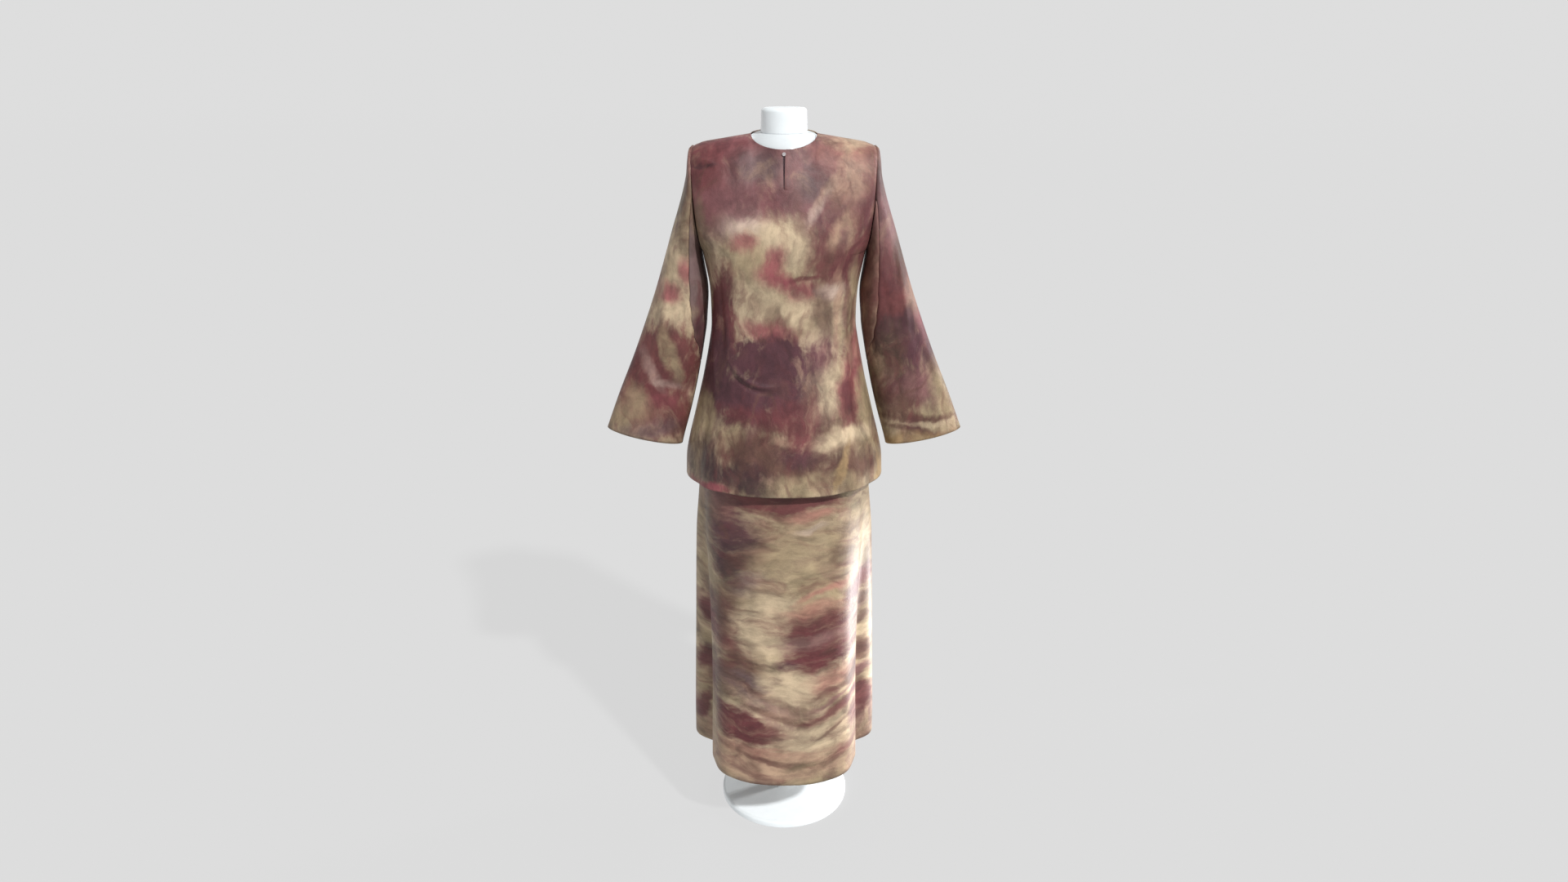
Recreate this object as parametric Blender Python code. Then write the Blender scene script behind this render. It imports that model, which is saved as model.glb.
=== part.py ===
"""A baju kurung, a loose tunic with long sleeves over a folded skirt, on a limbless dress form.

Metres, +Z up, front towards -Y. The origin is the middle of the stand's underside.
Each piece of cloth is a grid laid on a curved surface and extruded inwards into a thin wall.
"""

from collections import namedtuple
from math import asin, cos, exp, hypot, pi, radians, sin, sqrt

import bmesh
import bpy
from mathutils import Matrix, Vector

# Cloth
WALL = 0.0015
BAND_WALL = 0.0020
SEAM = 0.0003
REST_GAP = 0.0004

# Tunic, one row for each section from the hem up
Section = namedtuple("Section", "height half_width front back")
TUNIC_SECTIONS = (
    Section(0.8350, 0.2105, 0.1720, 0.1600),
    Section(0.8860, 0.2072, 0.1655, 0.1530),
    Section(0.9690, 0.1873, 0.1500, 0.1370),
    Section(1.0500, 0.1679, 0.1320, 0.1140),
    Section(1.1290, 0.1523, 0.1180, 0.0930),
    Section(1.1636, 0.1480, 0.1155, 0.0880),
    Section(1.2320, 0.1500, 0.1205, 0.0885),
    Section(1.3000, 0.1625, 0.1290, 0.0945),
    Section(1.3500, 0.1705, 0.1245, 0.0975),
    Section(1.4115, 0.1765, 0.1060, 0.0970),
    Section(1.4700, 0.1785, 0.0850, 0.0900),
)
TUNIC_BODY_ROWS = 10

# Shoulders, armholes and neck
SHOULDER_X = 0.1800
SHOULDER_Z = 1.5130
NECK_X = 0.0644
NECK_Z = 1.5320
NECK_FRONT = 0.0750
NECK_FRONT_Z = 1.5070
NECK_BACK = 0.0550
NECK_BACK_Z = 1.5380
NECK_RISE = radians(68)
UNDERARM_Z = 1.3100
ARMHOLE_DEPTH = 0.0650
ARMHOLE_ROWS = 4
YOKE_ROWS = 5
YOKE_REACH = 0.4
CHEST_STEP = 0.0100
NECK_COLUMNS = 4
SIDE_COLUMNS = 6

# Soft vertical folds of the tunic, each with its place from one side seam, -1, to the other, 1
TunicFold = namedtuple("TunicFold", "side place spread depth top")
FRONT, BACK = -1, 1
TUNIC_FOLDS = (
    TunicFold(FRONT, 0.87, 0.080, 0.0060, 1.27),
    TunicFold(FRONT, 0.60, 0.110, 0.0035, 1.06),
    TunicFold(FRONT, -0.88, 0.080, 0.0055, 1.24),
    TunicFold(FRONT, -0.56, 0.120, 0.0035, 1.02),
    TunicFold(BACK, 0.80, 0.110, 0.0070, 1.22),
    TunicFold(BACK, 0.34, 0.140, 0.0060, 1.12),
    TunicFold(BACK, -0.30, 0.130, 0.0050, 1.15),
    TunicFold(BACK, -0.78, 0.110, 0.0070, 1.20),
)

# Keyhole slit and its button
SLIT_TOP = 1.4970
SLIT_LOW = 1.4355
SLIT_WIDTH = 0.0056
SLIT_TIP = 0.0010
SLIT_SHOULDER = 0.0030
SLIT_CUT_FRONT = 0.1300
SLIT_CUT_BACK = 0.0300
BUTTON_RADIUS = 0.0035
BUTTON_THICK = 0.0024
BUTTON_Z = 1.4990

# Sleeve, one row for each ring from the armhole, 0, to the cuff, 1
Ring = namedtuple("Ring", "down outer_x outer_z clear inner_z half_depth swell")
SLEEVE_RINGS = (
    Ring(0.00, 0.1804, 1.5130, 0.0004, 1.3100, 0.0650, 0.0000),
    Ring(0.02, 0.1850, 1.5080, 0.0008, 1.3080, 0.0654, 0.0012),
    Ring(0.05, 0.1882, 1.4900, 0.0016, 1.3040, 0.0656, 0.0028),
    Ring(0.10, 0.1925, 1.4580, 0.0024, 1.2960, 0.0655, 0.0045),
    Ring(0.20, 0.2083, 1.3990, 0.0032, 1.2720, 0.0645, 0.0050),
    Ring(0.35, 0.2372, 1.3030, 0.0048, 1.2240, 0.0610, 0.0030),
    Ring(0.50, 0.2660, 1.2130, 0.0100, 1.1630, 0.0560, 0.0000),
    Ring(0.68, 0.3075, 1.1010, 0.0102, 1.0800, 0.0490, 0.0000),
    Ring(0.85, 0.3470, 1.0060, 0.0092, 0.9880, 0.0430, 0.0000),
    Ring(1.00, 0.3765, 0.9295, 0.0115, 0.8934, 0.0380, 0.0000),
)
SLEEVE_COLUMNS = 4 * YOKE_ROWS
ARMHOLE_BLEND = 0.12
SLEEVE_STEP = 0.002

# Underarm gusset, its half width round the sleeve at each place down it
GussetRow = namedtuple("GussetRow", "down half_angle seam")
GUSSET_ROWS = (
    GussetRow(0.000, radians(90), radians(0.8)),
    GussetRow(0.050, radians(87), radians(0.7)),
    GussetRow(0.100, radians(84), radians(0.6)),
    GussetRow(0.200, radians(80), radians(0.5)),
    GussetRow(0.310, radians(76), radians(0.3)),
    GussetRow(0.420, radians(70), radians(0.3)),
    GussetRow(0.500, radians(61), radians(0.3)),
    GussetRow(0.570, radians(48), radians(0.3)),
    GussetRow(0.640, radians(24), radians(0.3)),
    GussetRow(0.690, radians(0), radians(0.0)),
)
GUSSET_TIP = 0.676
GUSSET_COLUMNS = 2 * ARMHOLE_ROWS
CUFF_ROWS = (0.77, 0.85, 0.93, 1.00)

# Skirt, one row for each section from the hem up
SKIRT_SECTIONS = (
    Section(0.1760, 0.2097, 0.2230, 0.1950),
    Section(0.2600, 0.2083, 0.2150, 0.1900),
    Section(0.4580, 0.2018, 0.1980, 0.1780),
    Section(0.7000, 0.1930, 0.1690, 0.1560),
    Section(0.7900, 0.1850, 0.1570, 0.1450),
    Section(0.8350, 0.1815, 0.1500, 0.1380),
    Section(0.9000, 0.1745, 0.1400, 0.1280),
    Section(1.0000, 0.1580, 0.1190, 0.1030),
    Section(1.0400, 0.1500, 0.1085, 0.0920),
    Section(1.0997, 0.1374, 0.0934, 0.0749),
)
SKIRT_ROWS = 12
SKIRT_FRONT_COLUMNS = 28
SKIRT_BACK_COLUMNS = 26

# Hanging folds of the skirt, each at an angle round from +X, the front at 270 degrees
SkirtFold = namedtuple("SkirtFold", "angle spread depth")
SKIRT_FOLDS = (
    SkirtFold(radians(342), radians(9.0), 0.0400),
    SkirtFold(radians(327), radians(11.0), 0.0180),
    SkirtFold(radians(198), radians(9.0), 0.0400),
    SkirtFold(radians(213), radians(11.0), 0.0180),
    SkirtFold(radians(22), radians(10.0), 0.0300),
    SkirtFold(radians(66), radians(9.0), 0.0170),
    SkirtFold(radians(112), radians(10.0), 0.0200),
    SkirtFold(radians(157), radians(10.0), 0.0310),
)
FOLD_TOP = 0.9700
FOLD_FULL = 0.3000

# Dress form, one row for each section of the torso from its lower end up
FORM_SECTIONS = (
    Section(0.8000, 0.1400, 0.0980, 0.0880),
    Section(0.8500, 0.1520, 0.1120, 0.1010),
    Section(0.9400, 0.1590, 0.1180, 0.1060),
    Section(1.0250, 0.1470, 0.1050, 0.0890),
    Section(1.1000, 0.1350, 0.0910, 0.0725),
    Section(1.1300, 0.1320, 0.0885, 0.0700),
    Section(1.1700, 0.1310, 0.0900, 0.0700),
    Section(1.2400, 0.1400, 0.1080, 0.0770),
    Section(1.3100, 0.1560, 0.1240, 0.0890),
    Section(1.3600, 0.1640, 0.1160, 0.0920),
    Section(1.4115, 0.1690, 0.0980, 0.0905),
)
FORM_SHOULDER_X = 0.1720
FORM_CREST = radians(10)
FORM_NECK_RADIUS = 0.0470
NECK_RADIUS = 0.0453
NECK_LOW = 1.5330
NECK_TOP = 1.5800
NECK_EDGE = 0.0070
BAND_LOW = 1.1000
BAND_TOP = 1.1300
POLE_RADIUS = 0.0140
BASE_RADIUS = 0.1480
BASE_THICK = 0.0160
BASE_EDGE = 0.0060
MEETING_GAP = 0.0003
ROUND_SIDES = 40

# How the round of a section flattens between the side and the middle
BOW_SIDE = 2.3
BOW_MIDDLE = 2.2
BOW_CHEST = 1.5
EDGE_POWER = 6

MERGE = 0.00002

BodyShape = namedtuple("BodyShape", "sections heights shoulder_x armhole_depth drop crest folds")


def clear_scene():
    for item in list(bpy.data.objects):
        bpy.data.objects.remove(item, do_unlink=True)


def make_material(name, colour, roughness, metallic=0.0):
    material = bpy.data.materials.new(name)
    material.use_nodes = True
    shader = material.node_tree.nodes["Principled BSDF"]
    shader.inputs["Base Color"].default_value = (*colour, 1.0)
    shader.inputs["Roughness"].default_value = roughness
    shader.inputs["Metallic"].default_value = metallic
    material.diffuse_color = (*colour, 1.0)
    return material


def finish_mesh(name, bm, material, sharp=radians(40)):
    """Makes an object of a mesh whose faces all point out."""
    bmesh.ops.recalc_face_normals(bm, faces=bm.faces)
    mesh = bpy.data.meshes.new(name)
    bm.to_mesh(mesh)
    bm.free()
    mesh.shade_smooth()
    mesh.set_sharp_from_angle(angle=sharp)
    mesh.materials.append(material)
    item = bpy.data.objects.new(name, mesh)
    bpy.context.scene.collection.objects.link(item)
    return item


def smooth_step(value):
    value = min(max(value, 0.0), 1.0)
    return value * value * (3.0 - 2.0 * value)


def along(rows, column, place):
    """Reads a column of a table along a smooth curve through its rows, which its first column orders."""
    last = len(rows) - 1
    place = min(max(place, rows[0][0]), rows[last][0])
    low = max(i for i in range(last) if rows[i][0] <= place or i == 0)

    def slope(i):
        before, after = rows[max(i - 1, 0)], rows[min(i + 1, last)]
        return (getattr(after, column) - getattr(before, column)) / (after[0] - before[0])

    span = rows[low + 1][0] - rows[low][0]
    t = (place - rows[low][0]) / span
    start = getattr(rows[low], column)
    end = getattr(rows[low + 1], column)
    return (
        start * (2 * t**3 - 3 * t**2 + 1)
        + span * slope(low) * (t**3 - 2 * t**2 + t)
        + end * (3 * t**2 - 2 * t**3)
        + span * slope(low + 1) * (t**3 - t**2)
    )


def bow(share, middle=BOW_MIDDLE):
    """How far forward a section lies at a share of its half width: 1 in the middle, 0 at the side."""
    return max(1.0 - abs(share) ** BOW_SIDE, 0.0) ** (1.0 / middle)


def column_share(column):
    """The share of the half width at a column, close together at the neck's corner and the side."""
    neck = NECK_X / SHOULDER_X
    count = abs(column)
    if count <= NECK_COLUMNS:
        share = neck * sin(pi / 2 * count / NECK_COLUMNS)
    else:
        turn = (count - NECK_COLUMNS) / SIDE_COLUMNS
        share = sin(asin(neck) + (pi / 2 - asin(neck)) * turn)
    return share if column >= 0 else -share


def side_depth(side):
    return "front" if side == FRONT else "back"


def body_row(shape, side, share, height, edge, inset):
    """A point on a section below the chest. edge is how far the armhole has parted there, 0 to 1."""
    half_width = along(shape.sections, "half_width", height) - inset
    depth = along(shape.sections, side_depth(side), height) - inset
    near_edge = abs(share) ** EDGE_POWER
    parting = edge * near_edge + edge * edge * (1.0 - near_edge)
    parted = (shape.armhole_depth - inset) * parting
    middle = BOW_MIDDLE + (BOW_CHEST - BOW_MIDDLE) * parting
    x = half_width * share
    y = parted + (depth - parted) * bow(share, middle)
    sink = 0.0
    for fold in shape.folds:
        if fold.side == side:
            fade = smooth_step((fold.top - height) / (fold.top - shape.heights[0]))
            sink += fold.depth * fade * exp(-(((share - fold.place) / fold.spread) ** 2))
    keep = 1.0 - sink / hypot(x, y)
    return Vector((x * keep, side * y * keep, height))


def top_point(shape, side, share, inset):
    """A point on the neckline or the shoulder seam, and the slope there of the cloth below it."""
    neck = NECK_X / SHOULDER_X
    x = (shape.shoulder_x - inset) * share
    if abs(share) >= neck - MERGE:
        fall = (abs(x) - NECK_X) / (SHOULDER_X - NECK_X)
        return Vector((x, 0.0, NECK_Z + (SHOULDER_Z - NECK_Z) * fall - shape.drop - inset)), 0.0
    inward = sqrt(1.0 - (share / neck) ** 2)
    depth, middle_z = (NECK_FRONT, NECK_FRONT_Z) if side == FRONT else (NECK_BACK, NECK_BACK_Z)
    rise = NECK_RISE * inward
    lower = shape.drop + inset
    y = depth * inward * shape.shoulder_x / SHOULDER_X - lower * sin(rise)
    z = NECK_Z + (middle_z - NECK_Z) * inward - lower * cos(rise)
    return Vector((x, side * y, z)), rise


def body_point(shape, side, share, row, inset=0.0):
    """A point on a body's surface. Rows count up through the sections, the armhole and the yoke."""
    body_rows = len(shape.heights) - 1
    if row <= body_rows:
        return body_row(shape, side, share, shape.heights[row], 0.0, inset)
    chest_z = (UNDERARM_Z + SHOULDER_Z) / 2
    half_height = chest_z - UNDERARM_Z
    if row <= body_rows + ARMHOLE_ROWS:
        turn = pi / 2 * (row - body_rows) / ARMHOLE_ROWS
        height = chest_z - half_height * cos(turn)
        return body_row(shape, side, share, height, sin(turn), inset)
    v = (row - body_rows - ARMHOLE_ROWS) / YOKE_ROWS
    start = body_row(shape, side, share, chest_z, 1.0, inset)
    below = body_row(shape, side, share, chest_z - CHEST_STEP, 1.0, inset)
    end, rise = top_point(shape, side, share, inset)
    reach = YOKE_REACH * (end - start).length
    leave = (start - below).normalized()
    arrive = Vector((0.0, -side * cos(rise + shape.crest), sin(rise + shape.crest)))
    first = start + leave * reach
    second = end - arrive * reach
    return (
        start * (1 - v) ** 3
        + first * 3 * v * (1 - v) ** 2
        + second * 3 * v * v * (1 - v)
        + end * v**3
    )


def grid_wall(name, columns, rows, place, material, joined=False):
    """Lays a grid on a surface and extrudes it into a wall.

    place(column, row) gives the outer point and the inner one. A joined grid closes on itself.
    """
    bm = bmesh.new()
    bmesh.ops.create_grid(bm, x_segments=columns, y_segments=rows, size=1.0)
    inward = bm.verts.layers.float_vector.new("inward")
    for vert in bm.verts:
        column = round((vert.co.x + 1.0) / 2.0 * columns)
        row = round((vert.co.y + 1.0) / 2.0 * rows)
        outer, inner = place(column, row)
        vert.co = outer
        vert[inward] = inner - outer
    if joined:
        bmesh.ops.remove_doubles(bm, verts=bm.verts, dist=MERGE)
    made = bmesh.ops.extrude_face_region(bm, geom=bm.faces[:], use_keep_orig=True)
    for item in made["geom"]:
        if isinstance(item, bmesh.types.BMVert):
            item.co += item[inward]
    return finish_mesh(name, bm, material)


def tunic_shape():
    low, high = TUNIC_SECTIONS[0].height, UNDERARM_Z
    steps = TUNIC_BODY_ROWS
    heights = [low + (high - low) * i / steps for i in range(steps + 1)]
    return BodyShape(TUNIC_SECTIONS, heights, SHOULDER_X, ARMHOLE_DEPTH, 0.0, 0.0, TUNIC_FOLDS)


def form_shape():
    heights = [row.height for row in FORM_SECTIONS if row.height <= UNDERARM_Z]
    depth = ARMHOLE_DEPTH - WALL - 2 * REST_GAP
    drop = WALL + REST_GAP
    return BodyShape(FORM_SECTIONS, heights, FORM_SHOULDER_X, depth, drop, FORM_CREST, ())


def cut_slit(panel):
    """Cuts the keyhole slit down the front, wide at the top and pointed below."""
    half, crown, tip = SLIT_WIDTH / 2, SLIT_WIDTH / 4, SLIT_TIP / 2
    outline = (
        (-half, SLIT_TOP - SLIT_SHOULDER),
        (-crown, SLIT_TOP),
        (crown, SLIT_TOP),
        (half, SLIT_TOP - SLIT_SHOULDER),
        (tip, SLIT_LOW),
        (-tip, SLIT_LOW),
    )
    bm = bmesh.new()
    corners = [bm.verts.new((x, -SLIT_CUT_FRONT, z)) for x, z in outline]
    face = bm.faces.new(corners)
    made = bmesh.ops.extrude_face_region(bm, geom=[face], use_keep_orig=True)
    moved = [item for item in made["geom"] if isinstance(item, bmesh.types.BMVert)]
    bmesh.ops.translate(bm, verts=moved, vec=(0.0, SLIT_CUT_FRONT - SLIT_CUT_BACK, 0.0))
    cutter = finish_mesh("slit_cutter", bm, panel.data.materials[0])
    cutter.hide_render = True
    cutter.display_type = "WIRE"
    boolean = panel.modifiers.new("slit", "BOOLEAN")
    boolean.operation = "DIFFERENCE"
    boolean.solver = "EXACT"
    boolean.object = cutter


def make_tunic_panel(name, side, material):
    shape = tunic_shape()
    half = NECK_COLUMNS + SIDE_COLUMNS
    part = Vector((0.0, side * SEAM / 2, 0.0))

    def place(column, row):
        share = column_share(column - half)
        outer = body_point(shape, side, share, row)
        inner = body_point(shape, side, share, row, WALL)
        return outer + part, inner + part

    return grid_wall(name, 2 * half, TUNIC_BODY_ROWS + ARMHOLE_ROWS + YOKE_ROWS, place, material)


def make_button(material):
    """The small round button at the top of the slit, lying on the front panel."""
    shape = tunic_shape()
    top = TUNIC_BODY_ROWS + ARMHOLE_ROWS + YOKE_ROWS
    row = top
    while body_point(shape, FRONT, 0.0, row).z > BUTTON_Z:
        row -= 0.05
    seat = body_point(shape, FRONT, 0.0, row)
    rise = (body_point(shape, FRONT, 0.0, row + 0.05) - seat).normalized()
    out = Vector((0.0, -rise.z, rise.y))
    bm = bmesh.new()
    bmesh.ops.create_cone(
        bm,
        cap_ends=True,
        segments=16,
        radius1=BUTTON_RADIUS,
        radius2=BUTTON_RADIUS,
        depth=BUTTON_THICK,
    )
    front = [edge for edge in bm.edges if all(vert.co.z > 0.0 for vert in edge.verts)]
    bmesh.ops.bevel(
        bm,
        geom=front,
        offset=BUTTON_THICK * 0.45,
        segments=2,
        profile=0.5,
        affect="EDGES",
        material=-1,
    )
    button = finish_mesh("neck_button", bm, material)
    button.matrix_world = Matrix.Translation(
        seat + out * (SEAM / 2 + REST_GAP + BUTTON_THICK / 2)
    ) @ out.to_track_quat("Z", "Y").to_matrix().to_4x4()
    return button


def armhole_point(angle):
    """A point just outside the armhole's edge on +X, at an angle from its top, 0, through the front."""
    angle = (angle + pi) % (2 * pi) - pi
    side = FRONT if angle >= 0.0 else BACK
    turns = abs(angle) / (pi / 2)
    chest_row = TUNIC_BODY_ROWS + ARMHOLE_ROWS
    if turns <= 1.0:
        row = chest_row + YOKE_ROWS * (1.0 - turns)
    else:
        row = chest_row - ARMHOLE_ROWS * (turns - 1.0)
    low = min(int(row + MERGE), chest_row + YOKE_ROWS - 1)
    shape = tunic_shape()
    start = body_point(shape, side, 1.0, low)
    end = body_point(shape, side, 1.0, low + 1)
    point = start.lerp(end, row - low)
    point.x += SLEEVE_RINGS[0].clear
    return point


def sleeve_ring_point(down, angle):
    """A point on the plain sleeve, an oval ring between its outer and its inner edge."""
    outer = Vector((along(SLEEVE_RINGS, "outer_x", down), 0.0, along(SLEEVE_RINGS, "outer_z", down)))
    inner_z = along(SLEEVE_RINGS, "inner_z", down)
    clear = along(SLEEVE_RINGS, "clear", down)
    inner = Vector((along(TUNIC_SECTIONS, "half_width", inner_z) + clear, 0.0, inner_z))
    point = (outer + inner) / 2 + (outer - inner) / 2 * cos(angle)
    point.x += along(SLEEVE_RINGS, "swell", down) * sin(angle) ** 2
    point.y = -along(SLEEVE_RINGS, "half_depth", down) * sin(angle)
    return point


def sleeve_point(hand, down, angle):
    """A point on a sleeve's surface, which starts on the armhole's edge."""
    point = sleeve_ring_point(down, angle)
    fade = exp(-down / ARMHOLE_BLEND)
    point += (armhole_point(angle) - sleeve_ring_point(0.0, angle)) * fade
    point.x *= hand
    return point


def sleeve_wall(hand, down, angle):
    """The outer and inner points of a sleeve's wall. At the armhole the wall's edge is upright."""
    step = SLEEVE_STEP
    here = sleeve_point(hand, down, angle)
    low, high = max(down - step, 0.0), min(down + step, 1.0)
    length = sleeve_point(hand, high, angle) - sleeve_point(hand, low, angle)
    turn = sleeve_point(hand, down, angle + step) - sleeve_point(hand, down, angle - step)
    out = length.cross(turn).normalized() * -hand
    if down == 0.0:
        out.x = 0.0
        out.normalize()
    return here, here - out * WALL


def gusset_angles(down):
    """The gusset's half width round the sleeve, and half of its seam's gap, as angles."""
    rows = GUSSET_ROWS
    for before, after in zip(rows, rows[1:]):
        if before.down <= down <= after.down:
            share = (down - before.down) / (after.down - before.down)
            half_angle = before.half_angle + (after.half_angle - before.half_angle) * share
            return half_angle, before.seam + (after.seam - before.seam) * share
    return 0.0, 0.0


def make_sleeve(name, hand, material):
    """A sleeve, open along its underside where the gusset lies and closed below it."""
    downs = [row.down for row in GUSSET_ROWS] + list(CUFF_ROWS)

    def place(column, row):
        down = downs[row]
        half_angle, seam = gusset_angles(down)
        limit = pi - half_angle - seam
        return sleeve_wall(hand, down, limit * (2.0 * column / SLEEVE_COLUMNS - 1.0))

    return grid_wall(name, SLEEVE_COLUMNS, len(downs) - 1, place, material, joined=True)


def make_gusset(name, hand, material):
    downs = [row.down for row in GUSSET_ROWS[:-1]] + [GUSSET_TIP]

    def place(column, row):
        half_angle, seam = gusset_angles(downs[row])
        turn = (half_angle - seam) * (2.0 * column / GUSSET_COLUMNS - 1.0)
        return sleeve_wall(hand, downs[row], pi + turn)

    return grid_wall(name, GUSSET_COLUMNS, len(downs) - 1, place, material)


def skirt_sink(angle, height):
    """How far the skirt's hanging folds sink in at an angle."""
    fade = smooth_step((FOLD_TOP - height) / (FOLD_TOP - FOLD_FULL))
    sink = 0.0
    for fold in SKIRT_FOLDS:
        apart = (angle - fold.angle + pi) % (2 * pi) - pi
        sink += fold.depth * fade * exp(-((apart / fold.spread) ** 2))
    return sink


def skirt_point(angle, height, inset=0.0):
    side = FRONT if sin(angle) < 0.0 else BACK
    width = along(SKIRT_SECTIONS, "half_width", height)
    depth = along(SKIRT_SECTIONS, side_depth(side), height)
    x = width * cos(angle)
    y = side * depth * bow(cos(angle))
    keep = 1.0 - (skirt_sink(angle, height) + inset) / hypot(x, y)
    return Vector((x * keep, y * keep, height))


def make_skirt_panel(name, side, columns, material):
    low, high = SKIRT_SECTIONS[0].height, SKIRT_SECTIONS[-1].height
    part = Vector((0.0, side * SEAM / 2, 0.0))
    start = pi if side == FRONT else 0.0
    step = radians(0.5)

    def place(column, row):
        height = low + (high - low) * row / SKIRT_ROWS
        angle = start + pi * column / columns
        outer = skirt_point(angle, height)
        change = skirt_sink(angle + step, height) - skirt_sink(angle - step, height)
        slant = change / (2 * step) / outer.xy.length
        inner = skirt_point(angle, height, WALL * hypot(1.0, slant))
        return outer + part, inner + part

    return grid_wall(name, columns, SKIRT_ROWS, place, material)


def make_waistband(material):
    """The skirt's waistband, a closed band just outside the form's waist."""
    half = NECK_COLUMNS + SIDE_COLUMNS
    count = 4 * half
    heights = (BAND_LOW, BAND_TOP)

    def place(column, row):
        side = FRONT if column % count < 2 * half else BACK
        across = column % (2 * half) - half
        share = column_share(across if side == FRONT else -across)
        height = heights[row]
        points = []
        for out in (REST_GAP + BAND_WALL, REST_GAP):
            x = (along(FORM_SECTIONS, "half_width", height) + out) * share
            y = (along(FORM_SECTIONS, side_depth(side), height) + out) * bow(share)
            points.append(Vector((x, side * y, height)))
        return points

    return grid_wall("skirt_waistband", count, 1, place, material, joined=True)


def make_torso(material):
    """The torso, one closed body with flat plates where arms would start."""
    shape = form_shape()
    half = NECK_COLUMNS + SIDE_COLUMNS
    rows = len(shape.heights) - 1 + ARMHOLE_ROWS + YOKE_ROWS
    bm = bmesh.new()
    for side in (FRONT, BACK):
        made = bmesh.ops.create_grid(bm, x_segments=2 * half, y_segments=rows, size=1.0)
        for vert in made["verts"]:
            share = column_share(round(vert.co.x * half))
            row = round((vert.co.y + 1.0) / 2.0 * rows)
            vert.co = body_point(shape, side, share, row)
    bmesh.ops.remove_doubles(bm, verts=bm.verts, dist=MERGE)
    across = NECK_X * shape.shoulder_x / SHOULDER_X + MERGE
    chest_z = (UNDERARM_Z + SHOULDER_Z) / 2

    def round_the_neck(edge):
        return edge.is_boundary and all(
            abs(vert.co.x) <= across and vert.co.z > chest_z for vert in edge.verts
        )

    rim = [edge for edge in bm.edges if round_the_neck(edge)]
    made = bmesh.ops.extrude_edge_only(bm, edges=rim)
    for item in made["geom"]:
        if isinstance(item, bmesh.types.BMVert):
            round_out = item.co.xy.normalized() * FORM_NECK_RADIUS
            item.co = (round_out.x, round_out.y, NECK_LOW - MEETING_GAP)
    bmesh.ops.holes_fill(bm, edges=[edge for edge in bm.edges if edge.is_boundary], sides=0)
    return finish_mesh("form_torso", bm, material, sharp=radians(50))


def make_round(name, radius, low, high, top_edge, low_edge, sides, material):
    """A turned block with rounded edges."""
    bm = bmesh.new()
    bmesh.ops.create_cone(
        bm, cap_ends=True, segments=sides, radius1=radius, radius2=radius, depth=high - low
    )
    for sign, edge_radius in ((1, top_edge), (-1, low_edge)):
        if edge_radius > 0.0:
            loop = [
                edge
                for edge in bm.edges
                if all(sign * vert.co.z > (high - low) * 0.49 for vert in edge.verts)
            ]
            bmesh.ops.bevel(
                bm,
                geom=loop,
                offset=edge_radius,
                segments=3,
                profile=0.5,
                affect="EDGES",
                material=-1,
            )
    item = finish_mesh(name, bm, material)
    item.location = (0.0, 0.0, (low + high) / 2)
    return item


def build():
    clear_scene()
    cloth = make_material("dyed_satin", (0.42, 0.24, 0.20), 0.55)
    cloth_sleeve = make_material("dyed_satin_sleeve", (0.46, 0.33, 0.24), 0.55)
    cloth_skirt = make_material("dyed_satin_skirt", (0.50, 0.40, 0.27), 0.55)
    pearl = make_material("pearl_button", (0.80, 0.79, 0.78), 0.30)
    gloss = make_material("gloss_white", (0.90, 0.92, 0.93), 0.25)

    tunic_front = make_tunic_panel("tunic_front", FRONT, cloth)
    cut_slit(tunic_front)
    make_tunic_panel("tunic_back", BACK, cloth)
    make_button(pearl)
    for word, hand in (("left", -1), ("right", 1)):
        make_sleeve("sleeve_" + word, hand, cloth_sleeve)
        make_gusset("gusset_" + word, hand, cloth_sleeve)

    make_skirt_panel("skirt_front", FRONT, SKIRT_FRONT_COLUMNS, cloth_skirt)
    make_skirt_panel("skirt_back", BACK, SKIRT_BACK_COLUMNS, cloth_skirt)
    make_waistband(cloth_skirt)

    make_torso(gloss)
    make_round("form_neck", NECK_RADIUS, NECK_LOW, NECK_TOP, NECK_EDGE, 0.0, ROUND_SIDES, gloss)
    pole_top = FORM_SECTIONS[0].height - MEETING_GAP
    pole_low = BASE_THICK + MEETING_GAP
    make_round("form_pole", POLE_RADIUS, pole_low, pole_top, 0.0, 0.0, 16, gloss)
    make_round("form_base", BASE_RADIUS, 0.0, BASE_THICK, BASE_EDGE, 0.0020, ROUND_SIDES, gloss)


build()
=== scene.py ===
"""The looks of a baju kurung: a dyed satin tunic over a folded skirt, on a white dress form."""

from collections import namedtuple
from math import asin, atan2, cos, exp, hypot, pi, radians, sin, sqrt

import bmesh
import bpy
from mathutils import Matrix, Vector


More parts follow.
